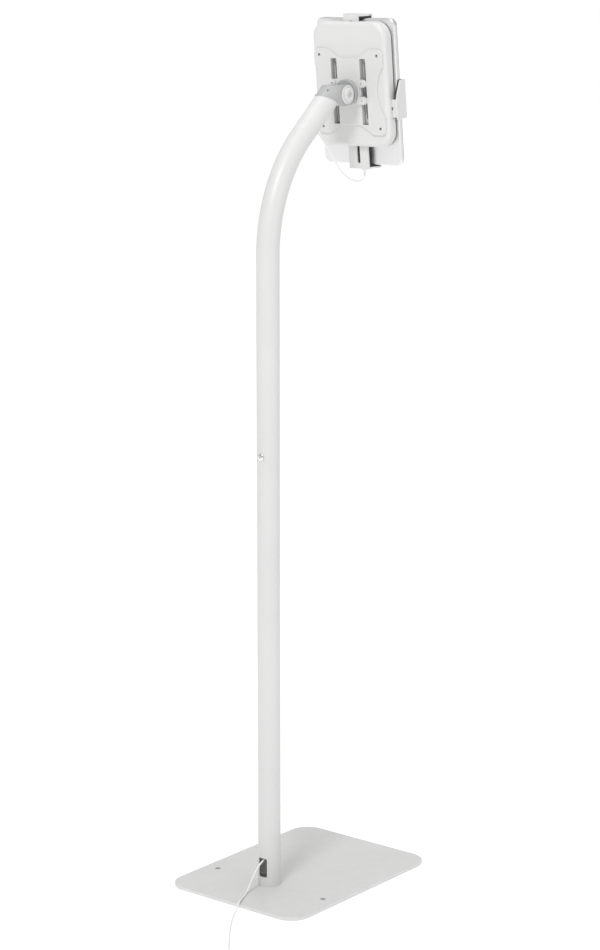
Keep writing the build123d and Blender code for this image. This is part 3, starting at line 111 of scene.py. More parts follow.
# ---- node trees -------------------------------------------------------------------------------------------------
class Sock:
    """An output of a node. Arithmetic on it adds Math nodes to the same tree."""

    def __init__(self, graph, socket):
        self.graph = graph
        self.socket = socket

    def other(self, name):
        return Sock(self.graph, self.socket.node.outputs[name])

    def math(self, operation, first, second=0):
        return self.graph.add("ShaderNodeMath", {"operation": operation}, {0: first, 1: second})

    def __add__(self, value):
        return self.math("ADD", self, value)

    def __sub__(self, value):
        return self.math("SUBTRACT", self, value)

    def __rsub__(self, value):
        return self.math("SUBTRACT", value, self)

    def __mul__(self, value):
        return self.math("MULTIPLY", self, value)

    def __gt__(self, value):
        return self.math("GREATER_THAN", self, value)

    def __lt__(self, value):
        return self.math("LESS_THAN", self, value)

    __radd__ = __add__
    __rmul__ = __mul__


class Graph:
    """Adds nodes to one tree."""

    def __init__(self, tree):
        self.tree = tree

    def add(self, kind, settings=None, inputs=None, output=0):
        node = self.tree.nodes.new(kind)
        for key, value in (settings or {}).items():
            if key == "stops":
                ramp = node.color_ramp
                for i, (place, colour) in enumerate(value):
                    stop = ramp.elements[i] if i < 2 else ramp.elements.new(place)
                    stop.position = place
                    stop.color = colour
            else:
                setattr(node, key, value)
        for key, value in (inputs or {}).items():
            if isinstance(value, (Sock, list)):
                for link in value if isinstance(value, list) else [value]:
                    self.tree.links.new(link.socket, node.inputs[key])
            else:
                node.inputs[key].default_value = value
        return Sock(self, node.outputs[output]) if node.outputs else None


class Finish(Graph):
    """A material under construction: a Principled shader and the object's own coordinates in metres."""

    def __init__(self, name, colour, roughness, metallic=0.0, **constants):
        self.material = bpy.data.materials.new(name)
        self.material.use_nodes = True
        super().__init__(self.material.node_tree)
        self.shader = self.tree.nodes["Principled BSDF"]
        self.colour = (*colour, 1.0)
        self.shader.inputs["Base Color"].default_value = self.colour
        self.shader.inputs["Roughness"].default_value = roughness
        self.shader.inputs["Metallic"].default_value = metallic
        for key, value in constants.items():
            self.shader.inputs[key.replace("_", " ")].default_value = value
        self.place = self.add("ShaderNodeTexCoord", output="Object")

    def noise(self, size, detail=2.0, stretch=None, seed=0.0):
        """Soft random values with features of a size in metres, drawn out along the axes by stretch."""
        place = self.place
        if stretch or seed:
            inputs = {"Vector": place, "Location": (seed, seed * 1.7, seed * 0.6)}
            inputs["Scale"] = stretch or (1, 1, 1)
            place = self.add("ShaderNodeMapping", {}, inputs)
        return self.add("ShaderNodeTexNoise", {}, {"Vector": place, "Scale": 1 / size, "Detail": detail})

    def cells(self, size):
        return self.add("ShaderNodeTexVoronoi", {}, {"Vector": self.place, "Scale": 1 / size})

    def axis(self, name):
        return self.add("ShaderNodeSeparateXYZ", {}, {0: self.place}, output=name)

    def ramp(self, value, low, high):
        """0 below low, 1 above high, straight between them."""
        inputs = {"Value": value, "From Min": low, "From Max": high}
        return self.add("ShaderNodeMapRange", {"clamp": True}, inputs)

    def mixed(self, share, first, second):
        """Colours mixed by a share."""
        first = first if isinstance(first, Sock) else (*first[:3], 1.0)
        second = second if isinstance(second, Sock) else (*second[:3], 1.0)
        inputs = {0: share, 6: first, 7: second}
        return self.add("ShaderNodeMix", {"data_type": "RGBA"}, inputs, output=2)

    def shades(self, share, amount):
        """The base colour made darker and lighter by an amount, following a share from 0 to 1."""
        low = [c * (1 - amount) for c in self.colour[:3]]
        high = [min(1.0, c * (1 + amount)) for c in self.colour[:3]]
        return self.mixed(share, low, high)

    def bump(self, height, distance, strength=1.0, under=None):
        inputs = {"Height": height, "Distance": distance, "Strength": strength}
        if under is not None:
            inputs["Normal"] = under
        return self.add("ShaderNodeBump", {}, inputs)

    def done(self, **links):
        for key, value in links.items():
            self.tree.links.new(value.socket, self.shader.inputs[key.replace("_", " ")])
        return self.material


# ---- materials --------------------------------------------------------------------------------------------------
def powder_coat(name, colour, roughness=0.42, grain=0.9 * MM, depth=0.035 * MM, dust=0.0):
    """Fine orange peel with a slow drift of shade, small specks, and dust that thins out above the floor."""
    coat = Finish(name, colour, roughness, Coat_Weight=0.12, Coat_Roughness=0.3)
    peel = coat.noise(grain, 3.0)
    fine = coat.noise(grain / 4, 2.0, seed=3.1)
    drift = coat.noise(90 * MM, 2.0, seed=1.3)
    specks = coat.ramp(coat.noise(1.6 * MM, 1.0, seed=5.7), 0.74, 0.78)
    shade = coat.shades(coat.ramp(drift, 0.3, 0.7), 0.02)
    shade = coat.mixed(specks * 0.10, shade, [c * 0.7 for c in colour])
    matt = coat.ramp(drift, 0.2, 0.8) * 0.08 + (roughness - 0.05) + specks * 0.06
    if dust:
        low = 1 - coat.ramp(coat.axis("Z"), 2 * MM, 60 * MM)
        grime = low * coat.ramp(coat.noise(14 * MM, 5.0, seed=2.2), 0.42, 0.72)
        scuffs = coat.ramp(coat.noise(30 * MM, 4.0, stretch=(1, 9, 9), seed=8.1), 0.66, 0.72)
        shade = coat.mixed(grime * dust + scuffs * (dust * 0.6), shade, (0.42, 0.41, 0.39))
        matt = matt + grime * 0.12
    return coat.done(Base_Color=shade, Roughness=matt, Normal=coat.bump(peel * 0.7 + fine * 0.3, depth))


def cast_coat(name, colour):
    """Satin coat over a cast surface: a coarser skin with shallow dimples."""
    coat = Finish(name, colour, 0.46, Coat_Weight=0.08, Coat_Roughness=0.35)
    skin = coat.noise(1.8 * MM, 4.0)
    dimples = coat.ramp(coat.cells(2.4 * MM), 0.0, 0.5)
    drift = coat.noise(25 * MM, 2.0, seed=4.0)
    shade = coat.shades(coat.ramp(drift * 0.6 + skin * 0.4, 0.35, 0.65), 0.06)
    matt = coat.ramp(skin, 0.3, 0.7) * 0.12 + 0.40
    return coat.done(Base_Color=shade, Roughness=matt, Normal=coat.bump(skin * 0.7 + dimples * 0.3, 0.09 * MM))


def plated_steel(name, colour, roughness=0.32, stretch=(1, 1, 1)):
    """Plated steel with fine scratches, a faint cloudiness and darker pits."""
    metal = Finish(name, colour, roughness, 1.0)
    cloud = metal.noise(4 * MM, 3.0)
    scratch = metal.noise(0.9 * MM, 4.0, stretch=stretch, seed=1.9)
    pits = metal.ramp(metal.cells(1.1 * MM), 0.0, 0.09)
    shade = metal.shades(cloud, 0.10)
    shade = metal.mixed((1 - pits) * 0.25, shade, [c * 0.45 for c in colour])
    matt = metal.ramp(cloud, 0.25, 0.75) * 0.14 + (roughness - 0.06) + metal.ramp(scratch, 0.55, 0.75) * 0.10
    return metal.done(Base_Color=shade, Roughness=matt, Normal=metal.bump(scratch, 0.02 * MM))


def polished_chrome(name, colour):
    """Bright plating with a few hairlines and finger haze."""
    metal = Finish(name, colour, 0.07, 1.0)
    haze = metal.ramp(metal.noise(3 * MM, 3.0), 0.45, 0.75)
    hairs = metal.ramp(metal.noise(0.5 * MM, 2.0, stretch=(1, 12, 12), seed=2.0), 0.62, 0.7)
    matt = haze * 0.10 + hairs * 0.12 + 0.06
    return metal.done(Base_Color=metal.shades(haze, 0.04), Roughness=matt, Normal=metal.bump(hairs, 0.006 * MM))


def moulded_rubber(name, colour):
    """Matt rubber with a pebbled skin, a grey bloom and rubbed patches."""
    rubber = Finish(name, colour, 0.72, Specular_IOR_Level=0.35)
    pebble = rubber.ramp(rubber.cells(0.8 * MM), 0.0, 0.6)
    grain = rubber.noise(0.35 * MM, 3.0)
    bloom = rubber.ramp(rubber.noise(9 * MM, 4.0, seed=6.0), 0.45, 0.75)
    shade = rubber.mixed(bloom * 0.35, colour, [c * 1.9 + 0.02 for c in colour])
    matt = bloom * 0.12 + 0.64
    return rubber.done(Base_Color=shade, Roughness=matt, Normal=rubber.bump(pebble * 0.6 + grain * 0.4, 0.06 * MM))


def plain_plastic(name, colour, roughness, grain=0.4 * MM, depth=0.012 * MM, coat=0.0):
    """Moulded plastic: a fine spark finish, slight flow marks and a touch of yellowing."""
    plastic = Finish(name, colour, roughness, Coat_Weight=coat, Coat_Roughness=0.15)
    spark = plastic.noise(grain, 2.0)
    flow = plastic.noise(22 * MM, 3.0, stretch=(1, 1, 3), seed=3.0)
    warm = [colour[0], colour[1] * 0.985, colour[2] * 0.94]
    shade = plastic.mixed(plastic.ramp(flow, 0.4, 0.7) * 0.6, colour, warm)
    matt = plastic.ramp(flow, 0.3, 0.7) * 0.06 + (roughness - 0.03)
    return plastic.done(Base_Color=shade, Roughness=matt, Normal=plastic.bump(spark, depth))


def blasted_aluminium(name, colour):
    """Bead-blasted and anodised aluminium: a very fine sparkle and a soft sheen."""
    metal = Finish(name, colour, 0.36, 0.92)
    sparkle = metal.noise(0.16 * MM, 2.0)
    cloud = metal.noise(60 * MM, 2.0, seed=1.0)
    marks = metal.ramp(metal.noise(24 * MM, 6.0, stretch=(1, 6, 2), seed=9.0), 0.7, 0.76)
    shade = metal.shades(metal.ramp(sparkle, 0.3, 0.7) * 0.7 + cloud * 0.3, 0.05)
    matt = metal.ramp(cloud, 0.3, 0.7) * 0.05 + 0.33 + marks * 0.08
    return metal.done(Base_Color=shade, Roughness=matt, Normal=metal.bump(sparkle, 0.008 * MM))


def cover_glass(name, border, panel):
    """The tablet's front: a black border round a switched-off panel, polished, with finger marks."""
    glass = Finish(name, border, 0.04, Coat_Weight=1.0, Coat_Roughness=0.02)
    from_middle = glass.add(
        "ShaderNodeVectorMath", {"operation": "SUBTRACT"}, {0: glass.place, 1: tuple(TABLET_MIDDLE)}
    )
    across, along = [
        glass.add("ShaderNodeVectorMath", {"operation": "DOT_PRODUCT"}, {0: from_middle, 1: tuple(axis)}, output=1)
        for axis in (ACROSS, HEAD_UP)
    ]
    side = across.math("ABSOLUTE", across) < PANEL_HALF[0]
    end = along.math("ABSOLUTE", along) < PANEL_HALF[1]
    smears = glass.ramp(glass.noise(26 * MM, 5.0, stretch=(1, 2, 2), seed=4.0), 0.5, 0.7)
    prints = glass.ramp(glass.noise(0.5 * MM, 1.0), 0.4, 0.6) * smears
    shade = glass.mixed(side * end, border, panel)
    return glass.done(Base_Color=shade, Roughness=smears * 0.06 + prints * 0.08 + 0.03)


def cable_jacket(name, colour):
    """Soft jacket: a faint lengthwise ripple, handling marks and a satin surface."""
    jacket = Finish(name, colour, 0.48)
    ripple = jacket.noise(3.5 * MM, 2.0)
    handled = jacket.ramp(jacket.noise(11 * MM, 5.0, seed=7.0), 0.55, 0.8)
    shade = jacket.mixed(handled * 0.35, colour, [c * 0.86 for c in colour])
    matt = handled * 0.10 + 0.44
    return jacket.done(Base_Color=shade, Roughness=matt, Normal=jacket.bump(ripple, 0.05 * MM))


def strap_cloth(name, colour):
    """Hook-and-loop strap: a close pile of tiny loops."""
    cloth = Finish(name, colour, 0.9, Sheen_Weight=0.35)
    loops = cloth.cells(0.45 * MM)
    shade = cloth.mixed(cloth.ramp(loops, 0.1, 0.6), colour, [c * 0.55 for c in colour])
    return cloth.done(Base_Color=shade, Normal=cloth.bump(loops, 0.12 * MM))


def circuit_board(name, colour):
    """Solder mask over copper tracks with pads in rows."""
    board = Finish(name, colour, 0.4)
    inputs = {"Vector": board.place, "Scale": 1 / (9 * MM), "Mortar Size": 0.03, "Brick Width": 0.9, "Row Height": 0.2}
    tracks = board.add("ShaderNodeTexBrick", {}, inputs, output="Fac")
    shade = board.mixed(tracks, colour, [c * 1.8 for c in colour])
    return board.done(Base_Color=shade, Normal=board.bump(tracks, 0.03 * MM))


def stage_paint(name, colour, roughness):
    """Matt studio floor with a barely visible roller texture."""
    paint = Finish(name, colour, roughness, Specular_IOR_Level=0.1, Emission_Color=(1, 1, 1, 1), Emission_Strength=0.75)
    roller = paint.noise(6 * MM, 3.0)
    drift = paint.noise(0.9, 2.0, seed=2.0)
    return paint.done(Base_Color=paint.shades(drift, 0.006), Normal=paint.bump(roller, 0.01 * MM))


ANCHOR_X = 96.5 * MM
PANEL_HALF = (60 * MM, 80 * MM)
TABLET_MIDDLE = middle("tablet_glass")
MATERIALS = {}


def make_materials(settings):
    """Make every finish once, from the record's colours."""
    if MATERIALS:
        return
    white = tuple(settings.coat_colour)
    MATERIALS.update(
        powder_coat=powder_coat("powder coat", white, settings.coat_roughness, settings.coat_grain),
        base_coat=powder_coat("powder coat of the base", white, settings.coat_roughness, dust=0.05),
        bracket_grey=cast_coat("grey cast coat", COLOURS["bracket_grey"]),
        casing=powder_coat("casing coat", COLOURS["casing"], 0.45, 0.7 * MM, 0.03 * MM),
        zinc_steel=plated_steel("zinc plated steel", COLOURS["zinc_steel"]),
        chrome_screw=polished_chrome("polished chrome", COLOURS["chrome_screw"]),
        rubber=moulded_rubber("black rubber", COLOURS["rubber"]),
        nylon=plain_plastic("natural nylon", COLOURS["nylon"], 0.5),
        tablet_metal=blasted_aluminium("blasted aluminium", COLOURS["tablet_metal"]),
        tablet_glass=cover_glass("cover glass", COLOURS["tablet_glass"], (0.006, 0.007, 0.009)),
        display=plain_plastic("display panel", COLOURS["display"], 0.2),
        dark_plastic=plain_plastic("dark plastic", COLOURS["dark_plastic"], 0.4),
        lens=plain_plastic("camera lens", (0.012, 0.012, 0.02), 0.06, coat=1.0),
        board_green=circuit_board("circuit board", COLOURS["board_green"]),
        cable_white=cable_jacket("cable jacket", COLOURS["cable_white"]),
        plug_white=plain_plastic("moulded plug", COLOURS["plug_white"], 0.28, coat=0.3),
        contact_metal=plated_steel("plug shell", (0.72, 0.72, 0.70), 0.22),
        strap=strap_cloth("strap", (0.75, 0.75, 0.74)),
    )


# ---- meshes -----------------------------------------------------------------------------------------------------
SMOOTH_BELOW = 35.0  # degrees between faces that are shaded as one surface
ROUND_ABOVE = 30.0  # degrees between faces whose shared edge is rounded


def linked(name, data):
    """A new object at the origin, in the scene."""
    piece = bpy.data.objects.new(name, data)
    bpy.context.scene.collection.objects.link(piece)
    return piece


def mesh_from(bm, name, frame_matrix=Matrix()):
    """The mesh of a closed form in a frame, with its faces outwards. The form is used up."""
    bmesh.ops.recalc_face_normals(bm, faces=bm.faces)
    bmesh.ops.transform(bm, matrix=frame_matrix, verts=bm.verts)
    mesh = bpy.data.meshes.new(name)
    bm.to_mesh(mesh)
    bm.free()
    return mesh


def evaluated(piece):
    """A plain mesh of the object with its modifiers run."""
    depsgraph = bpy.context.evaluated_depsgraph_get()
    return bpy.data.meshes.new_from_object(piece.evaluated_get(depsgraph), depsgraph=depsgraph)


def smoothed(mesh, below=SMOOTH_BELOW):
    """The mesh shaded smooth, but for its edges above an angle."""
    for polygon in mesh.polygons:
        polygon.use_smooth = True
    mesh.set_sharp_from_angle(angle=radians(below))
    return mesh


def place(name, mesh, material, smooth_below=SMOOTH_BELOW):
    """A new object at the origin with one material, smooth where its faces meet at a shallow angle."""
    mesh.name = name
    mesh.materials.clear()
    mesh.materials.append(MATERIALS[material])
    for polygon in mesh.polygons:
        polygon.material_index = 0
    return linked(name, smoothed(mesh, smooth_below))


def settled(piece):
    """The piece with its modifiers applied."""
    mesh = evaluated(piece)
    piece.modifiers.clear()
    old, piece.data = piece.data, mesh
    mesh.name = piece.name
    bpy.data.meshes.remove(old)
    return piece


def rounded(piece, width, segments=2):
    """Round the piece's sharp edges, keep its flat faces flat to the light, and apply the result."""
    bevel = piece.modifiers.new("edges", "BEVEL")
    bevel.width = width
    bevel.segments = segments
    bevel.limit_method = "ANGLE"
    bevel.angle_limit = radians(ROUND_ABOVE)
    bevel.use_clamp_overlap = True
    bevel.miter_outer = "MITER_ARC"
    smoothed(settled(piece).data)
    flats = piece.modifiers.new("flats", "WEIGHTED_NORMAL")
    flats.keep_sharp = True
    return settled(piece)


def assign(piece, body, slot, *nodes):
    """Attach the piece to the body that it moves with, and hide the CAD nodes that it stands for. The slot is not used.
    """
    if body:
        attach(piece, body)
    if nodes:
        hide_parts(*nodes)
    return piece


def clean_copy(node):
    """A copy of a CAD node's mesh with its points merged and its flat faces whole."""
    bm = bmesh.new()
    bm.from_mesh(NODES[node].data)
    bmesh.ops.remove_doubles(bm, verts=bm.verts, dist=2e-6)
    bmesh.ops.dissolve_degenerate(bm, edges=bm.edges, dist=2e-6)
    bmesh.ops.dissolve_limit(bm, angle_limit=radians(0.4), verts=bm.verts, edges=bm.edges)
    mesh = bpy.data.meshes.new(node)
    bm.to_mesh(mesh)
    bm.free()
    if "custom_normal" in mesh.attributes:
        mesh.attributes.remove(mesh.attributes["custom_normal"])
    return mesh


def refined(node, material, width, segments=2, slot=None):
    """A finished copy of a CAD node: merged, with softened edges, in place of the node."""
    piece = rounded(place(f"{node}_finished", clean_copy(node), material), width, segments)
    return assign(piece, NODES[node]["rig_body"], slot or material, node)


def dressed(material, *nodes):
    """CAD nodes that keep their own shape get their finish."""
    for node in nodes:
        mesh_slots = NODES[node].material_slots
        for mesh_slot in mesh_slots:
            mesh_slot.material = MATERIALS[material]
        if not mesh_slots:
            NODES[node].data.materials.append(MATERIALS[material])


def ring_radius(radius, angle, corners):
    """Distance from the axis at an angle: a circle, or a polygon measured to its corners."""
    if not corners:
        return radius
    part = 2 * pi / corners
    turn = (angle % part) - part / 2
    return radius * cos(part / 2) / cos(turn)


def turned_mesh(name, rings, frame_matrix, sides=72, closed=False):
    """A turned form: rings of (radius, height, corners) about the frame's Z axis. Radius 0 closes an end."""
    bm = bmesh.new()
    rows = []
    for radius, height, corners in rings:
        if radius == 0:
            rows.append([bm.verts.new((0, 0, height))])
            continue
        row = []
        for i in range(sides):
            angle = 2 * pi * i / sides
            r = ring_radius(radius, angle, corners)
            row.append(bm.verts.new((r * cos(angle), r * sin(angle), height)))
        rows.append(row)
    pairs = list(zip(rows, rows[1:])) + ([(rows[-1], rows[0])] if closed else [])
    for low, high in pairs:
        for i in range(sides):
            j = (i + 1) % sides
            if len(low) == 1:
                bm.faces.new((low[0], high[j], high[i]))
            elif len(high) == 1:
                bm.faces.new((low[i], low[j], high[0]))
            else:
                bm.faces.new((low[i], low[j], high[j], high[i]))
    return mesh_from(bm, name, frame_matrix)


def in_mm(rows):
    """Rings of a round form from (radius, height) in millimetres."""
    return [(radius * MM, height * MM, 0) for radius, height in rows]


def facing(origin, direction, side=None):
    """A frame with its Z axis along a direction and its X axis near another."""
    z = Vector(direction).normalized()
    x = Vector(side) if side else (Vector((0, 0, 1)) if abs(z.z) < 0.9 else Vector((1, 0, 0)))
    y = z.cross(x).normalized()
    return Matrix.Translation(Vector(origin)) @ Matrix((y.cross(z), y, z)).transposed().to_4x4()


def socket_rings(radius, top, depth, edge):
    """Rings of a hexagon socket sunk from a height."""
    return [
        (radius + edge, top, 0),
        (radius, top - edge / 2, 6),
        (radius * 0.98, top - depth, 6),
        (0, top - depth - radius * 0.4, 0),
    ]


def button_rings(head_r, head_h, socket_r, shank_r, shank):
    """Rings of a domed screw head with a hexagon socket, seated at height 0, with its shank below."""
    shoulder = head_h * 0.35
    dome_r = (head_r**2 + (head_h - shoulder) ** 2) / (2 * (head_h - shoulder))
    dome = [(head_r * t, head_h - dome_r + sqrt(dome_r**2 - (head_r * t) ** 2), 0) for t in (1, 0.93, 0.82, 0.7, 0.58)]
    lip = socket_r + 0.25 * MM
    top = head_h - dome_r + sqrt(dome_r**2 - lip**2)
    rings = [(0, -shank, 0), (shank_r, -shank, 0), (shank_r, 0, 0), (head_r - 0.2 * MM, 0, 0), (head_r, 0.2 * MM, 0)]
    return rings + dome + socket_rings(socket_r, top, head_h * 0.7, 0.25 * MM)


def cap_rings(head_r, head_h, socket_r, shank_r, shank, edge=0.5 * MM, depth=0.65):
    """Rings of a flat-topped screw head with a hexagon socket, seated at height 0, with its shank below."""
    corner = [(1.0, 1.0), (0.7, 0.3), (0.3, 0.08), (0.0, 0.0)]
    rings = [(0, -shank, 0), (shank_r * 0.9, -shank, 0), (shank_r, -shank + shank_r * 0.1, 0), (shank_r, 0, 0)]
    rings += [(head_r - 0.2 * MM, 0, 0), (head_r, 0.2 * MM, 0)]
    rings += [(head_r - edge * (1 - out), head_h - edge * down, 0) for out, down in corner]
    return rings + socket_rings(socket_r, head_h, head_h * depth, 0.3 * MM)


def washer_rings(outer, inner, thickness, edge=0.25 * MM):
    """Rings of a flat washer with softened edges, for a closed form."""
    return [
        (inner, edge, 0),
        (inner + edge, 0, 0),
        (outer - edge, 0, 0),
        (outer, edge, 0),
        (outer, thickness - edge, 0),
        (outer - edge, thickness, 0),
        (inner + edge, thickness, 0),
        (inner, thickness - edge, 0),
    ]


def nut_rings(corner_r, inner, height):
    """Rings of a hexagon nut with its corners turned off at both faces, for a closed form."""
    flat = corner_r * cos(pi / 6)
    return [
        (inner, 0.5 * MM, 0),
        (inner + 0.5 * MM, 0, 0),
        (flat * 0.98, 0, 0),
        (corner_r, 0.8 * MM, 6),
        (corner_r, height - 0.8 * MM, 6),
        (flat * 0.98, height, 0),
        (inner + 0.5 * MM, height, 0),
        (inner, height - 0.5 * MM, 0),
    ]


# ---- repeated pieces --------------------------------------------------------------------------------------------
def geometry_tree(name, inputs):
    """An empty Geometry Nodes tree with a geometry socket each way and named inputs."""
    tree = bpy.data.node_groups.new(name, "GeometryNodeTree")
    tree.interface.new_socket("Geometry", in_out="INPUT", socket_type="NodeSocketGeometry")
    for label, kind, value in inputs:
        socket = tree.interface.new_socket(label, in_out="INPUT", socket_type=kind)
        if value is not None:
            socket.default_value = value
    tree.interface.new_socket("Geometry", in_out="OUTPUT", socket_type="NodeSocketGeometry")
    graph = Graph(tree)
    return tree, graph, graph.add("NodeGroupInput", output="Geometry")


def with_tree(piece, tree, values):
    """The object with a tree as its modifier and the tree's named inputs set."""
    modifier = piece.modifiers.new(tree.name, "NODES")
    modifier.node_group = tree
    sockets = {s.name: s.identifier for s in tree.interface.items_tree if s.in_out == "INPUT"}
    for label, value in values.items():
        modifier[sockets[label]] = value
    return piece


def copies_tree():
    """Copies of one template on every point, each turned about its own axis by a seeded random angle."""
    inputs = [
        ("Template", "NodeSocketObject", None),
        ("Material", "NodeSocketMaterial", None),
        ("Direction", "NodeSocketVector", (0, 0, 1)),
        ("Size", "NodeSocketFloat", 1.0),
        ("Turn", "NodeSocketFloat", 0.0),
        ("Seed", "NodeSocketInt", 7),
    ]
    tree, graph, points = geometry_tree("Copies on points", inputs)
    template = graph.add("GeometryNodeObjectInfo", {}, {"Object": points.other("Template")}, output="Geometry")
    upright = graph.add("FunctionNodeAlignRotationToVector", {"axis": "Z"}, {"Vector": points.other("Direction")})
    angle = graph.add(
        "FunctionNodeRandomValue",
        {"data_type": "FLOAT"},
        {2: 0.0, 3: points.other("Turn"), "Seed": points.other("Seed")},
        output=1,
    )
    own_turn = graph.add("FunctionNodeAxisAngleToRotation", {}, {"Axis": (0, 0, 1), "Angle": angle})
    rotation = graph.add(
        "FunctionNodeRotateRotation", {"rotation_space": "LOCAL"}, {"Rotation": upright, "Rotate By": own_turn}
    )
    copies = graph.add(
        "GeometryNodeInstanceOnPoints",
        {},
        {"Points": points, "Instance": template, "Rotation": rotation, "Scale": points.other("Size")},
    )
    real = graph.add("GeometryNodeRealizeInstances", {}, {"Geometry": copies})
    finished = graph.add("GeometryNodeSetMaterial", {}, {"Geometry": real, "Material": points.other("Material")})
    graph.add("NodeGroupOutput", {}, {"Geometry": finished})
    return tree


def tube_tree():
    """A tube with a wall along the object's own line."""
    inputs = [
        ("Outer radius", "NodeSocketFloat", 16 * MM),
        ("Wall", "NodeSocketFloat", 1.5 * MM),
        ("Sides", "NodeSocketInt", 96),
        ("Material", "NodeSocketMaterial", None),
    ]
    tree, graph, line = geometry_tree("Tube along a line", inputs)
    circle = {"Resolution": line.other("Sides"), "Radius": line.other("Outer radius")}
    outline = graph.add("GeometryNodeCurvePrimitiveCircle", {"mode": "RADIUS"}, circle)
    skin = graph.add("GeometryNodeCurveToMesh", {}, {"Curve": line, "Profile Curve": outline})
    inwards = {"Mesh": skin, "Offset Scale": 0 - line.other("Wall"), "Individual": False}
    bore = graph.add("GeometryNodeExtrudeMesh", {"mode": "FACES"}, inwards)
    bore = graph.add("GeometryNodeFlipFaces", {}, {"Mesh": bore})
    both = graph.add("GeometryNodeJoinGeometry", {}, {"Geometry": [skin, bore]})
    whole = graph.add("GeometryNodeMergeByDistance", {}, {"Geometry": both, "Distance": 0.002 * MM})
    finished = graph.add("GeometryNodeSetMaterial", {}, {"Geometry": whole, "Material": line.other("Material")})
    graph.add("NodeGroupOutput", {}, {"Geometry": finished})
    return tree


TREES = {}


def tree_named(name, maker):
    if name not in TREES:
        TREES[name] = maker()
    return TREES[name]


def outward(piece):
    """Turn a closed piece's faces outwards."""
    bm = bmesh.new()
    bm.from_mesh(piece.data)
    bmesh.ops.recalc_face_normals(bm, faces=bm.faces)
    bm.to_mesh(piece.data)
    bm.free()
    return piece


def curve_through(name, kind, points):
    """A curve object with one spline of a kind on points."""
    curve = bpy.data.curves.new(name, "CURVE")
    curve.dimensions = "3D"
    spline = curve.splines.new(kind)
    spline.points.add(len(points) - 1)
    for point, at in zip(spline.points, points):
        point.co = (*at, 1)
    return linked(name, curve)


def pipe(name, points, sides):
    """A coated tube with a wall, along straight runs through points."""
    values = {"Outer radius": TUBE_R, "Wall": TUBE_WALL, "Sides": sides, "Material": MATERIALS["powder_coat"]}
    line = with_tree(curve_through("line", "POLY", points), tree_named("tube", tube_tree), values)
    mesh = evaluated(line)
    bpy.data.objects.remove(line)
    return outward(place(name, mesh, "powder_coat"))


def copies(name, template, points, material, direction, turn=0.0):
    """One mesh of copies of a template mesh at points."""
    model = linked("template", template)
    cloud = bpy.data.meshes.new(name)
    cloud.from_pydata([tuple(p) for p in points], [], [])
    piece = linked(name, cloud)
    values = {"Template": model, "Material": MATERIALS[material], "Direction": tuple(direction), "Turn": turn}
    settled(with_tree(piece, tree_named("copies", copies_tree), values))
    bpy.data.objects.remove(model)
    mesh = piece.data.copy()
    bpy.data.objects.remove(piece)
    return place(name, mesh, material)


def cut_with(piece, mesh):
    """Take a closed mesh out of a piece."""
    cutter = linked("cutter", mesh)
    cut = piece.modifiers.new("cut", "BOOLEAN")
    cut.operation = "DIFFERENCE"
    cut.solver = "EXACT"
    cut.object = cutter
    settled(piece)
    bpy.data.objects.remove(cutter)
    return piece


def mitred(piece, point, normal):
    """Cut a tube off on the far side of a plane and close its wall there."""
    bm = bmesh.new()
    bm.from_mesh(piece.data)
    parts = bm.verts[:] + bm.edges[:] + bm.faces[:]
    cut = bmesh.ops.bisect_plane(bm, geom=parts, plane_co=point, plane_no=normal, clear_outer=True)
    bmesh.ops.bridge_loops(bm, edges=[part for part in cut["geom_cut"] if isinstance(part, bmesh.types.BMEdge)])
    bmesh.ops.recalc_face_normals(bm, faces=bm.faces)
    bm.to_mesh(piece.data)
    bm.free()


def slab(name, width, height, low, high, corner, frame_matrix, steps=6):
    """A closed rounded rectangle between two heights of a frame."""
    outline = []
    for i, (sx, sy) in enumerate([(1, 1), (-1, 1), (-1, -1), (1, -1)]):
        for k in range(steps + 1):
            angle = pi / 2 * (i + k / steps)
            outline.append(
                (sx * (width / 2 - corner) + corner * cos(angle), sy * (height / 2 - corner) + corner * sin(angle))
            )
    bm = bmesh.new()
    rows = [[bm.verts.new((x, y, z)) for x, y in outline] for z in (low, high)]
    bm.faces.new(rows[0])
    bm.faces.new(rows[1])
    for i in range(len(outline)):
        j = (i + 1) % len(outline)
        bm.faces.new((rows[0][i], rows[0][j], rows[1][j], rows[1][i]))
    return mesh_from(bm, name, frame_matrix)


def block(name, outline, at, material, edge=None, segments=1):
    """A rounded block in a frame: width, height, low end, high end, corner and edge rounding in millimetres."""
    piece = place(name, slab(name, *(value * MM for value in outline), at), material)
    return rounded(piece, edge * MM, segments) if edge else piece


def turned(name, rings, frame_matrix, material, sides=72, closed=False, smooth_below=SMOOTH_BELOW):
    return place(name, turned_mesh(name, rings, frame_matrix, sides, closed), material, smooth_below)


# ---- sizes of the pieces ----------------------------------------------------------------------------------------
TUBE_R = 16 * MM
TUBE_WALL = 1.5 * MM
BEND_START = 899 * MM
BEND_R = 205 * MM
BEND_DEG = 49
NECK_TIP = 80 * MM
MITRE_DEG = 25.0
OPENING = (14 * MM, 28 * MM)
OPENING_MIDDLE_Z = 34 * MM
EAR_FACE = 16 * MM
WASHER_T = 2 * MM
BOLT_HOLE_R = 6.05 * MM
HUB_SEAT = 3.5 * MM
HUB_SCREW_PLACES = [(x * MM, y * MM) for x in (-25, 25) for y in (-11.8, 11.8)]
JOINT_SCREW = {"head_r": 4.9 * MM, "head_h": 2.8 * MM, "socket_r": 1.9 * MM, "shank_r": 2.5 * MM, "shank": 7 * MM}
PIVOT_BOLT = {"head_r": 9.5 * MM, "head_h": 3 * MM, "socket_r": 5 * MM, "shank_r": 6 * MM, "shank": 44 * MM}
HUB_SCREW = {"head_r": 4.4 * MM, "head_h": 2.6 * MM, "socket_r": 1.75 * MM, "shank_r": 2.45 * MM, "shank": 3 * MM}


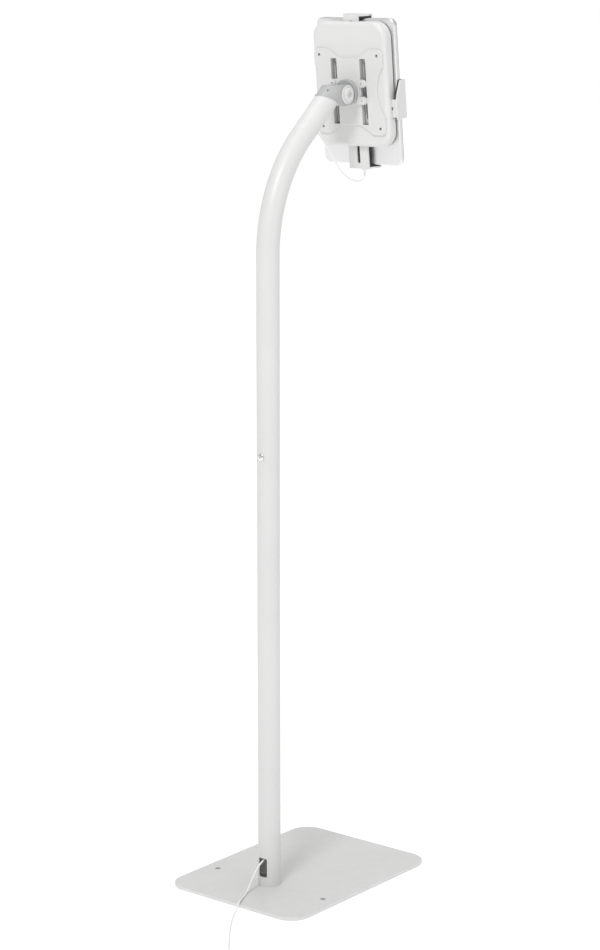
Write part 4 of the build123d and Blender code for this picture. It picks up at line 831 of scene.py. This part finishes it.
def on_pole(forward, height, across=0.0):
    """A point given by how far it is in front of the pole's axis, its height and its place towards -X."""
    return Vector((-across, POLE_AT.y - forward, height))


CAMERA_AT = (-2.139, 2.6633, 1.2896)
CAMERA_POINT = (-0.0229, 0.0283, 0.5945)
LIT_POINT = (-0.02, -0.02, 0.75)


def aimed(item, at, target):
    """Put a lamp or a camera at a point and turn it to another."""
    item.location = at
    item.rotation_euler = (Vector(target) - Vector(at)).to_track_quat("-Z", "Y").to_euler()
    return item


# The cable's routes: forward of the pole, height and place towards -X, in millimetres.
NECK_LOOP = [
    (106.21, 1061.43, 0), (111.65, 1055.16, 0), (119.3, 1048.6, 0), (129.0, 1039.0, 0),
    (138.5, 1028.3, 0), (147.5, 1017.3, 0), (156.2, 1007.3, 0), (165.5, 999.3, 0),
    (170.5, 996.25, 0),
]
HEAD_LOOP = [
    (170.5, 996.25, 0), (175.5, 993.2, 0), (185.5, 989.2, 0), (195.5, 986.9, 0),
    (203.4, 986.6, 0), (209.2, 988.0, 0), (213.4, 991.2, 0), (215.41, 996.02, 0),
    (214.89, 1000.99, 0),
]
FLOOR_RUN = [
    (-16.0, 43.0, 0), (-21.5, 40.0, -0.3), (-28.5, 33.8, -0.7), (-35.0, 25.6, -1.1),
    (-41.0, 17.6, -1.2), (-48.5, 11.4, 0.6), (-57.5, 8.2, 3.6), (-69.0, 7.4, 8.6),
    (-78.5, 9.2, 13.4), (-84.5, 11.0, 16.8), (-92.0, 10.2, 20.4), (-98.5, 6.4, 23.2),
    (-105.5, 2.6, 26.2), (-115.5, 1.3, 31.0), (-134.0, 1.3, 43.6), (-152.5, 1.3, 56.6),
    (-181.0, 1.3, 79.0), (-206.0, 1.3, 99.6), (-224.0, 1.5, 115.0), (-238.4, 2.2, 128.2),
]
TAIL = [
    (-250.6, 4.4, 157.4), (-244.28, 4.0, 165.22), (-238.0, 3.5, 173.0),
]
COIL_STEPS = 15  # points in a turn
COIL_START = 6.0  # degrees
COIL_END = 129.0
COIL_TURNS = 4
COIL_OUTER = 17.9  # millimetres, as the next ones
COIL_INNER = 12.5
COIL_INWARDS = 2.65  # in one turn on the floor
COIL_OUTWARDS = 2.83  # in one turn above
COIL_LOW = 1.9
COIL_HIGH = 4.5
COIL_CLIMB = (2, 2.4)  # turns between which it climbs


def route(points):
    return [on_pole(f * MM, z * MM, a * MM) for f, z, a in points]


def coil_points():
    """Turns of the put-away cable: outside to inside on the floor, then back out on top of them."""
    centre = middle("cable_coil")
    sweep = 360 * COIL_TURNS + COIL_END - COIL_START
    count = int(sweep / 360 * COIL_STEPS)
    points = []
    for i in range(1, count):
        turns = i * sweep / count / 360
        if turns < COIL_CLIMB[0]:
            radius, height = COIL_OUTER - COIL_INWARDS * turns, COIL_LOW
        elif turns < COIL_CLIMB[1]:
            radius, height = COIL_INNER, COIL_LOW + (turns - COIL_CLIMB[0]) * 6.5
        else:
            radius, height = COIL_INNER + 0.1 + (turns - COIL_CLIMB[1]) * COIL_OUTWARDS, COIL_HIGH
        angle = radians(COIL_START) + 2 * pi * turns
        across, back = radius * MM * cos(angle), radius * MM * sin(angle)
        points.append(Vector((centre.x + across, centre.y + back, height * MM)))
    return points


def cord_curve(name, points, radius):
    """A cord as one smooth spline with the route's points as its control points."""
    piece = curve_through(name, "NURBS", points)
    curve = piece.data
    curve.splines[0].order_u = 3
    curve.splines[0].use_endpoint_u = True
    curve.resolution_u = 6
    curve.bevel_depth = radius
    curve.bevel_resolution = 5
    curve.use_fill_caps = radius > 0
    return piece


def line_of(points):
    """Points along the smooth spline of a route."""
    bare = cord_curve("line", points, 0.0)
    mesh = evaluated(bare)
    line = [v.co.copy() for v in mesh.vertices]
    bpy.data.objects.remove(bare)
    bpy.data.meshes.remove(mesh)
    return line


def tube_on_line(name, line, radii, material, sides=20):
    """A closed round tube that follows a line, with a radius for each of its points."""
    bm = bmesh.new()
    rows = []
    up = Vector((1, 0, 0))
    for i, at in enumerate(line):
        ahead = (line[min(i + 1, len(line) - 1)] - line[max(i - 1, 0)]).normalized()
        up = (up - ahead * up.dot(ahead)).normalized()
        side = ahead.cross(up)
        row = []
        for k in range(sides):
            angle = 2 * pi * k / sides
            row.append(bm.verts.new(at + (up * cos(angle) + side * sin(angle)) * radii[i]))
        rows.append(row)
    for low, high in zip(rows, rows[1:]):
        for k in range(sides):
            j = (k + 1) % sides
            bm.faces.new((low[k], low[j], high[j], high[k]))
    bm.faces.new(rows[0])
    bm.faces.new(rows[-1])
    return place(name, mesh_from(bm, name), material, 50)


def sleeve(name, line, length, thick, thin, material, ribs=5):
    """A tapered strain relief with shallow ribs over the first part of a line."""
    along = [0.0]
    for a, b in zip(line, line[1:]):
        along.append(along[-1] + (b - a).length)
    steps = ribs * 8
    points, radii = [], []
    for i in range(steps + 1):
        want = length * i / steps
        k = max(j for j in range(len(along) - 1) if along[j] <= want)
        part = (want - along[k]) / (along[k + 1] - along[k])
        points.append(line[k].lerp(line[k + 1], min(part, 1.0)))
        rib = 0.12 * MM * cos(2 * pi * ribs * i / steps)
        radii.append(thick + (thin - thick) * i / steps + (rib if 0 < i < steps else 0))
    return tube_on_line(name, points, radii, material, 28)


def loop_of_cable(name, node, line, radius):
    """A hanging length of the cable along a line, in place of a CAD node."""
    piece = tube_on_line(name, line, [radius] * len(line), "cable_white")
    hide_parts(node)
    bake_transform(piece)
    return piece


# ---- settings ---------------------------------------------------------------------------------------------------
def length_setting(name, description, default):
    return FloatProperty(name=name, description=description, default=default, unit="LENGTH", precision=5)


class CoatSettings(bpy.types.PropertyGroup):
    """Finish of the coated steel parts."""

    coat_colour: FloatVectorProperty(
        name="Coat colour",
        description="Colour of the powder coat",
        subtype="COLOR",
        size=3,
        min=0,
        max=1,
        default=tuple(COLOURS["powder_coat"]),
    )
    coat_roughness: FloatProperty(
        name="Coat roughness", description="Roughness of the powder coat", default=0.42, min=0, max=1, subtype="FACTOR"
    )
    coat_grain: length_setting("Grain", "Size of the orange peel", 0.9 * MM)
    edge: length_setting("Edge rounding", "Rounding of the coated edges", 0.5 * MM)


class PoleSettings(bpy.types.PropertyGroup):
    """Fineness of the pole's tubes."""

    sides: IntProperty(name="Sides", description="Faces around each tube", default=96, min=24, max=192)
    bend_step: FloatProperty(
        name="Bend step", description="Angle between rings in the bend", default=radians(1.4), subtype="ANGLE"
    )
    seam: length_setting("Seam", "Rounding of the tube ends at the seam", 0.35 * MM)
    opening_corner: length_setting("Opening corner", "Corner radius of the cable opening", 2.5 * MM)


class CableSettings(bpy.types.PropertyGroup):
    """Sizes of the charging cable."""

    diameter: length_setting("Diameter", "Diameter of the cable", 2.6 * MM)
    sleeve_length: length_setting("Sleeve length", "Length of the strain relief", 8 * MM)


class StageSettings(bpy.types.PropertyGroup):
    """Floor, light and camera."""

    lens: FloatProperty(name="Lens", description="Focal length of the camera in mm", default=94.75, min=20, max=200)
    floor_colour: FloatVectorProperty(
        name="Floor colour", description="Colour of the floor", subtype="COLOR", size=3, default=(0.45, 0.45, 0.45)
    )
    key_power: FloatProperty(name="Key light", description="Power of the main light in W", default=70.0, min=0)
    fill_power: FloatProperty(name="Fill light", description="Power of the fill light in W", default=8.0, min=0)
    top_power: FloatProperty(name="Top light", description="Power of the light above in W", default=16.0, min=0)
    sky: FloatProperty(name="Sky", description="Strength of the even light all round", default=0.58, min=0)


class StandSettings(bpy.types.PropertyGroup):
    """All settings of the stand."""

    coat: PointerProperty(type=CoatSettings)
    pole: PointerProperty(type=PoleSettings)
    cable: PointerProperty(type=CableSettings)
    stage: PointerProperty(type=StageSettings)


class StandOperator:
    """What every operator of the stand shares."""

    bl_options = {"REGISTER", "UNDO"}

    def execute(self, context):
        self.settings = context.scene.tablet_stand
        make_materials(self.settings.coat)
        self.make()
        return {"FINISHED"}


# ---- operators --------------------------------------------------------------------------------------------------
class STAND_OT_base(StandOperator, bpy.types.Operator):
    """Make the base plate with its soft edges, and finish the rubber sheet and the screw under it."""

    bl_idname = "stand.base"
    bl_label = "Base plate"

    def make(self):
        refined("base_plate", "base_coat", 0.35 * MM, slot="powder_coat")
        dressed("rubber", "floor_pad")
        dressed("zinc_steel", "base_screw", "foot_plug")


class STAND_OT_pole(StandOperator, bpy.types.Operator):
    """Make the two tubes of the pole, the bent neck, and the button screw at the seam."""

    bl_idname = "stand.pole"
    bl_label = "Pole and neck"

    def make(self):
        pole = self.settings.pole
        low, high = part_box("lower_tube")
        lower = pipe("pole_lower_tube", [on_pole(0, low.z), on_pole(0, high.z)], pole.sides)
        side = facing((0, POLE_AT.y, OPENING_MIDDLE_Z), (0, 1, 0), ACROSS)
        cut_with(lower, slab("opening", *OPENING, 4 * MM, TUBE_R * 2, pole.opening_corner, side))
        assign(rounded(lower, pole.seam), "stand", "powder_coat", "lower_tube")

        slope, mitre = radians(BEND_DEG), radians(MITRE_DEG)
        steps = int(slope / pole.bend_step) + 1
        points = [on_pole(0, high.z)]
        for angle in [slope * i / steps for i in range(steps + 1)]:
            points.append(on_pole(BEND_R * (1 - cos(angle)), BEND_START + BEND_R * sin(angle)))
        points.append(points[-1] + Vector((0, -sin(slope), cos(slope))) * NECK_TIP)
        upper = pipe("pole_upper_tube", points, pole.sides)
        front = points[-1] - Vector((0, cos(slope), sin(slope))) * TUBE_R
        mitred(upper, front, Vector((0, -sin(mitre), cos(mitre))))
        assign(rounded(upper, pole.seam), "stand", "powder_coat", "upper_tube")

        seat = middle("joint_screw")
        seat.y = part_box("joint_screw")[1].y - JOINT_SCREW["head_h"]
        screw = turned("pole_joint_screw", button_rings(**JOINT_SCREW), facing(seat, (0, 1, 0)), "chrome_screw")
        assign(screw, "stand", "chrome_screw", "joint_screw")
        refined("neck_grommet", "rubber", 0.15 * MM)
        dressed("zinc_steel", "coupling_sleeve")


class STAND_OT_tilt_joint(StandOperator, bpy.types.Operator):
    """Make the cast clevis, the knuckle between its ears, and the bolt, washers and nut of the tilt joint."""

    bl_idname = "stand.tilt_joint"
    bl_label = "Tilt joint"

    def make(self):
        refined("neck_bracket", "bracket_grey", 0.7 * MM, 3)
        refined("knuckle", "bracket_grey", 0.5 * MM)
        seat = EAR_FACE + WASHER_T
        out = facing(PIVOT - ACROSS * seat, -ACROSS)
        bolt = turned("pivot_bolt_finished", cap_rings(**PIVOT_BOLT, edge=1.2 * MM, depth=0.8), out, "powder_coat")
        assign(bolt, "stand", "powder_coat", "pivot_bolt")
        rings = washer_rings(13 * MM, BOLT_HOLE_R, WASHER_T, 0.4 * MM)
        for side, name, nodes in ((-1, "pivot_washer_left", ["pivot_washers"]), (1, "pivot_washer_right", [])):
            at = facing(PIVOT + ACROSS * side * EAR_FACE, ACROSS * side)
            assign(turned(name, rings, at, "powder_coat", 96, True), "stand", "powder_coat", *nodes)
        rings = nut_rings(10.5 * MM, BOLT_HOLE_R, 7 * MM)
        at = facing(PIVOT + ACROSS * seat, ACROSS)
        nut = turned("pivot_nut_finished", rings, at, "zinc_steel", closed=True, smooth_below=25)
        assign(nut, "stand", "zinc_steel", "pivot_nut")
        dressed("zinc_steel", "bracket_grub_screw", "swivel_retainer", "swivel_screw")
        dressed("nylon", "friction_washers")


class STAND_OT_hub(StandOperator, bpy.types.Operator):
    """Make the hub flange, its four socket screws, and the grooved plate that they hold on to."""

    bl_idname = "stand.hub"
    bl_label = "Hub and grooved plate"

    def make(self):
        refined("hub_flange", "powder_coat", 0.4 * MM)
        template = turned_mesh("hub_screw", cap_rings(**HUB_SCREW), Matrix(), 48)
        points = [HEAD_MATRIX @ Vector((x, y, -HUB_SEAT)) for x, y in HUB_SCREW_PLACES]
        screws = copies("hub_screws_finished", template, points, "powder_coat", -TO_SCREEN, turn=2.0)
        assign(screws, "head", "powder_coat", "hub_screws")
        refined("vesa_plate", "powder_coat", 0.3 * MM)
        dressed("zinc_steel", "hub_nuts", "plate_screws")


class STAND_OT_casing(StandOperator, bpy.types.Operator):
    """Make the two halves of the casing with the parting line between them."""

    bl_idname = "stand.casing"
    bl_label = "Casing"

    def make(self):
        refined("case_rear_shell", "casing", 0.3 * MM)
        refined("case_front_cover", "casing", 0.25 * MM)
        dressed("rubber", "case_pads")
        dressed("zinc_steel", "case_screws", "guide_plate", "guide_screws")


class STAND_OT_clamps(StandOperator, bpy.types.Operator):
    """Make the four clamp arms and their rubber linings."""

    bl_idname = "stand.clamps"
    bl_label = "Clamp arms"

    def make(self):
        for side in ("top", "bottom", "left", "right"):
            refined(f"{side}_arm", "powder_coat", self.settings.coat.edge, 3)
            refined(f"{side}_pad", "rubber", 0.3 * MM)


class STAND_OT_tablet(StandOperator, bpy.types.Operator):
    """Make the tablet's shell with its speaker holes, its glass, camera, home button and keys."""

    bl_idname = "stand.tablet"
    bl_label = "Tablet"

    def make(self):
        shell = place("tablet_shell_finished", clean_copy("tablet_shell"), "tablet_metal")
        bottom = middle("tablet_port")
        holes = [
            bottom + ACROSS * side * (14 + 2.1 * i) * MM + TO_SCREEN * row * MM
            for side in (-1, 1)
            for i in range(11)
            for row in (-0.9, 0.9)
        ]
        template = turned_mesh("drill", in_mm([(0, -6), (0.55, -6), (0.55, 6), (0, 6)]), Matrix(), 12)
        drills = copies("drills", template, [p - HEAD_UP * 1.5 * MM for p in holes], "tablet_metal", HEAD_UP)
        cutter = drills.data.copy()
        bpy.data.objects.remove(drills)
        cut_with(shell, cutter)
        assign(rounded(shell, 0.15 * MM, 1), "head", "tablet_metal", "tablet_shell")
        refined("tablet_glass", "tablet_glass", 0.15 * MM)

        at = facing(middle("tablet_camera") - TO_SCREEN * 1.1 * MM, -TO_SCREEN)
        ring = [(0, -1.8), (3.6, -1.8), (3.6, 0.35), (3.4, 0.5), (2.9, 0.5)]
        ring += [(2.6, 0.15), (1.3, 0.1), (0.9, 0.2), (0, 0.28)]
        camera = turned("tablet_camera_finished", in_mm(ring), at, "lens", 48)
        assign(camera, "head", "dark_plastic", "tablet_camera")

        at = facing(middle("home_button"), TO_SCREEN)
        dish = [(0, -0.4), (4.45, -0.4), (4.45, 0.3), (4.3, 0.4), (4.0, 0.4), (3.9, 0.3), (2.5, 0.16), (0, 0.1)]
        button = turned("home_button_finished", in_mm(dish), at, "tablet_glass", 64)
        assign(button, "home_button", "tablet_glass", "home_button")
        refined("power_button", "tablet_metal", 0.3 * MM)
        refined("volume_rocker", "tablet_metal", 0.3 * MM)
        dressed("display", "tablet_display")
        dressed("dark_plastic", "tablet_battery")
        dressed("board_green", "tablet_board")
        dressed("contact_metal", "tablet_port")


class STAND_OT_cables(StandOperator, bpy.types.Operator):
    """Make the charging cable, its plugs, strain reliefs and the strap round its coil."""

    bl_idname = "stand.cables"
    bl_label = "Charging cable"

    def make(self):
        radius = self.settings.cable.diameter / 2
        length = self.settings.cable.sleeve_length
        dressed("cable_white", "cable_inside")

        neck_line, head_line = line_of(route(NECK_LOOP)), line_of(route(HEAD_LOOP))
        neck = loop_of_cable("cable_at_neck", "cable_loop_neck", neck_line, radius)

        head = loop_of_cable("cable_at_head", "cable_loop_head", head_line, radius)
        at = facing(head_line[-1], HEAD_UP, ACROSS)
        plug = block("charging_plug_finished", (8, 5.4, 0, 9.4, 2.5), at, "plug_white", 0.5, 3)
        assign(plug, "head", "plug_white", "charging_plug")
        tongue = block("charging_plug_tongue", (6.9, 1.5, 9.2, 14.8, 0.7), at, "contact_metal", 0.2, 2)
        assign(tongue, "head", "plug_white")
        thin = radius + 0.15 * MM
        relief = sleeve("charging_plug_sleeve", head_line[::-1], length * 0.8, 1.9 * MM, thin, "plug_white")
        assign(relief, "head", "plug_white")

        floor_route = route(FLOOR_RUN) + coil_points() + route(TAIL)
        floor_line = line_of(floor_route)
        floor = cord_curve("cable_on_floor", floor_route, radius)
        floor.data.materials.append(MATERIALS["cable_white"])
        assign(floor, "stand", "cable_white", "cable_floor", "cable_coil", "cable_tail")

        ahead = (floor_route[-1] - floor_route[-2]).normalized()
        ahead.z = 0
        at = facing(floor_line[-1], ahead, ahead.cross(Vector((0, 0, 1))))
        body = block("usb_plug_body", (11, 7, 0, 19, 1.6), at, "plug_white", 0.7, 3)
        assign(body, "stand", "plug_white", "usb_plug")
        shell = block("usb_plug_shell", (10, 4.5, 18.5, 31, 0.5), at, "contact_metal")
        cut_with(shell, slab("hollow", 9.2 * MM, 3.7 * MM, 20 * MM, 33 * MM, 0.3 * MM, at))
        assign(rounded(shell, 0.1 * MM, 1), "stand", "plug_white")
        wafer_at = at @ Matrix.Translation((0, -0.8 * MM, 0))
        wafer = block("usb_plug_wafer", (8.9, 1.6, 20, 30, 0.2), wafer_at, "plug_white")
        assign(wafer, "stand", "plug_white")
        usb_relief = sleeve("usb_plug_sleeve", floor_line[::-1], length, 2.4 * MM, thin, "plug_white")
        assign(usb_relief, "stand", "plug_white")

        at = facing(middle("coil_tie"), (0, 1, 0), ACROSS)
        strap = block("coil_strap", (9.1, 6.5, -2, 2, 2.0), at, "strap")
        cut_with(strap, slab("inside", 7.9 * MM, 5.3 * MM, -3 * MM, 3 * MM, 1.4 * MM, at))
        assign(rounded(strap, 0.12 * MM, 1), "stand", "cable_white", "coil_tie")


class STAND_OT_stage(StandOperator, bpy.types.Operator):
    """Make the pale floor, dark discs of painted shade under the anchor holes, the soft lights and the camera."""

    bl_idname = "stand.stage"
    bl_label = "Stage"

    def ground(self, name, at, radii, material, sides):
        """A flat disc on the ground that faces up."""
        disc = turned(name, [(radius, 0, 0) for radius in radii], Matrix.Translation(at), material, sides)
        if disc.data.polygons[0].normal.z < 0:
            disc.data.flip_normals()

    def make(self):
        stage = self.settings.stage
        MATERIALS["floor"] = stage_paint("studio floor", tuple(stage.floor_colour), 0.9)
        self.ground("studio_floor", (0, 0, -0.05 * MM), (0, 1.2, 12.0, 160.0), "floor", 96)
        # Dark discs under the two anchor holes are painted shade: black rubber finish standing for the shadow on the
        # floor beneath the plate.
        for side, x in (("left", -ANCHOR_X), ("right", ANCHOR_X)):
            self.ground(f"hole_shade_{side}", (x, POLE_AT.y, -0.02 * MM), (0, 6.5 * MM), "rubber", 48)

        world = bpy.data.worlds.new("even light")
        world.use_nodes = True
        sky = world.node_tree.nodes["Background"]
        sky.inputs["Color"].default_value = (1.0, 1.0, 1.0, 1.0)
        seen = world.node_tree.nodes.new("ShaderNodeLightPath").outputs["Is Camera Ray"]
        strength = world.node_tree.nodes.new("ShaderNodeMapRange")
        strength.inputs["To Min"].default_value = stage.sky
        strength.inputs["To Max"].default_value = 1.0
        world.node_tree.links.new(seen, strength.inputs["Value"])
        world.node_tree.links.new(strength.outputs["Result"], sky.inputs["Strength"])
        bpy.context.scene.world = world

        for name, at, size, power in (
            ("key", (-0.93, 2.76, 3.77), 1.2, stage.key_power),
            ("fill", (-3.2, 0.2, 1.6), 2.0, stage.fill_power),
            ("front", (1.0, -3.0, 2.2), 1.6, stage.fill_power),
            ("top", (0.1, -0.4, 3.4), 1.5, stage.top_power),
        ):
            light = bpy.data.lights.new(name, "AREA")
            light.shape = "DISK"
            light.size = size
            light.energy = power
            aimed(linked(name, light), at, LIT_POINT)

        camera = bpy.data.cameras.new("camera")
        camera.lens = stage.lens
        camera.sensor_width = 36
        camera.clip_end = 400
        bpy.context.scene.camera = aimed(linked("camera", camera), CAMERA_AT, CAMERA_POINT)
        bpy.context.scene.view_settings.view_transform = "Standard"


class STAND_PT_panel(bpy.types.Panel):
    """The stand's operators and settings in the sidebar."""

    bl_label = "Tablet stand"
    bl_space_type = "VIEW_3D"
    bl_region_type = "UI"
    bl_category = "Tablet stand"

    def draw(self, context):
        settings = context.scene.tablet_stand
        for group in (settings.coat, settings.pole, settings.cable, settings.stage):
            box = self.layout.box()
            for key in group.__annotations__:
                box.prop(group, key)
        for operator in OPERATORS:
            self.layout.operator(operator.bl_idname)


OPERATORS = [
    STAND_OT_base,
    STAND_OT_pole,
    STAND_OT_tilt_joint,
    STAND_OT_hub,
    STAND_OT_casing,
    STAND_OT_clamps,
    STAND_OT_tablet,
    STAND_OT_cables,
    STAND_OT_stage,
]
CLASSES = [CoatSettings, PoleSettings, CableSettings, StageSettings, StandSettings, *OPERATORS, STAND_PT_panel]


def register():
    for item in CLASSES:
        bpy.utils.register_class(item)
    bpy.types.Scene.tablet_stand = PointerProperty(type=StandSettings)


def unregister():
    del bpy.types.Scene.tablet_stand
    for item in reversed(CLASSES):
        bpy.utils.unregister_class(item)


def main():
    register()
    for operator in OPERATORS:
        group, name = operator.bl_idname.split(".")
        getattr(getattr(bpy.ops, group), name)()


if __name__ == "__main__":
    main()
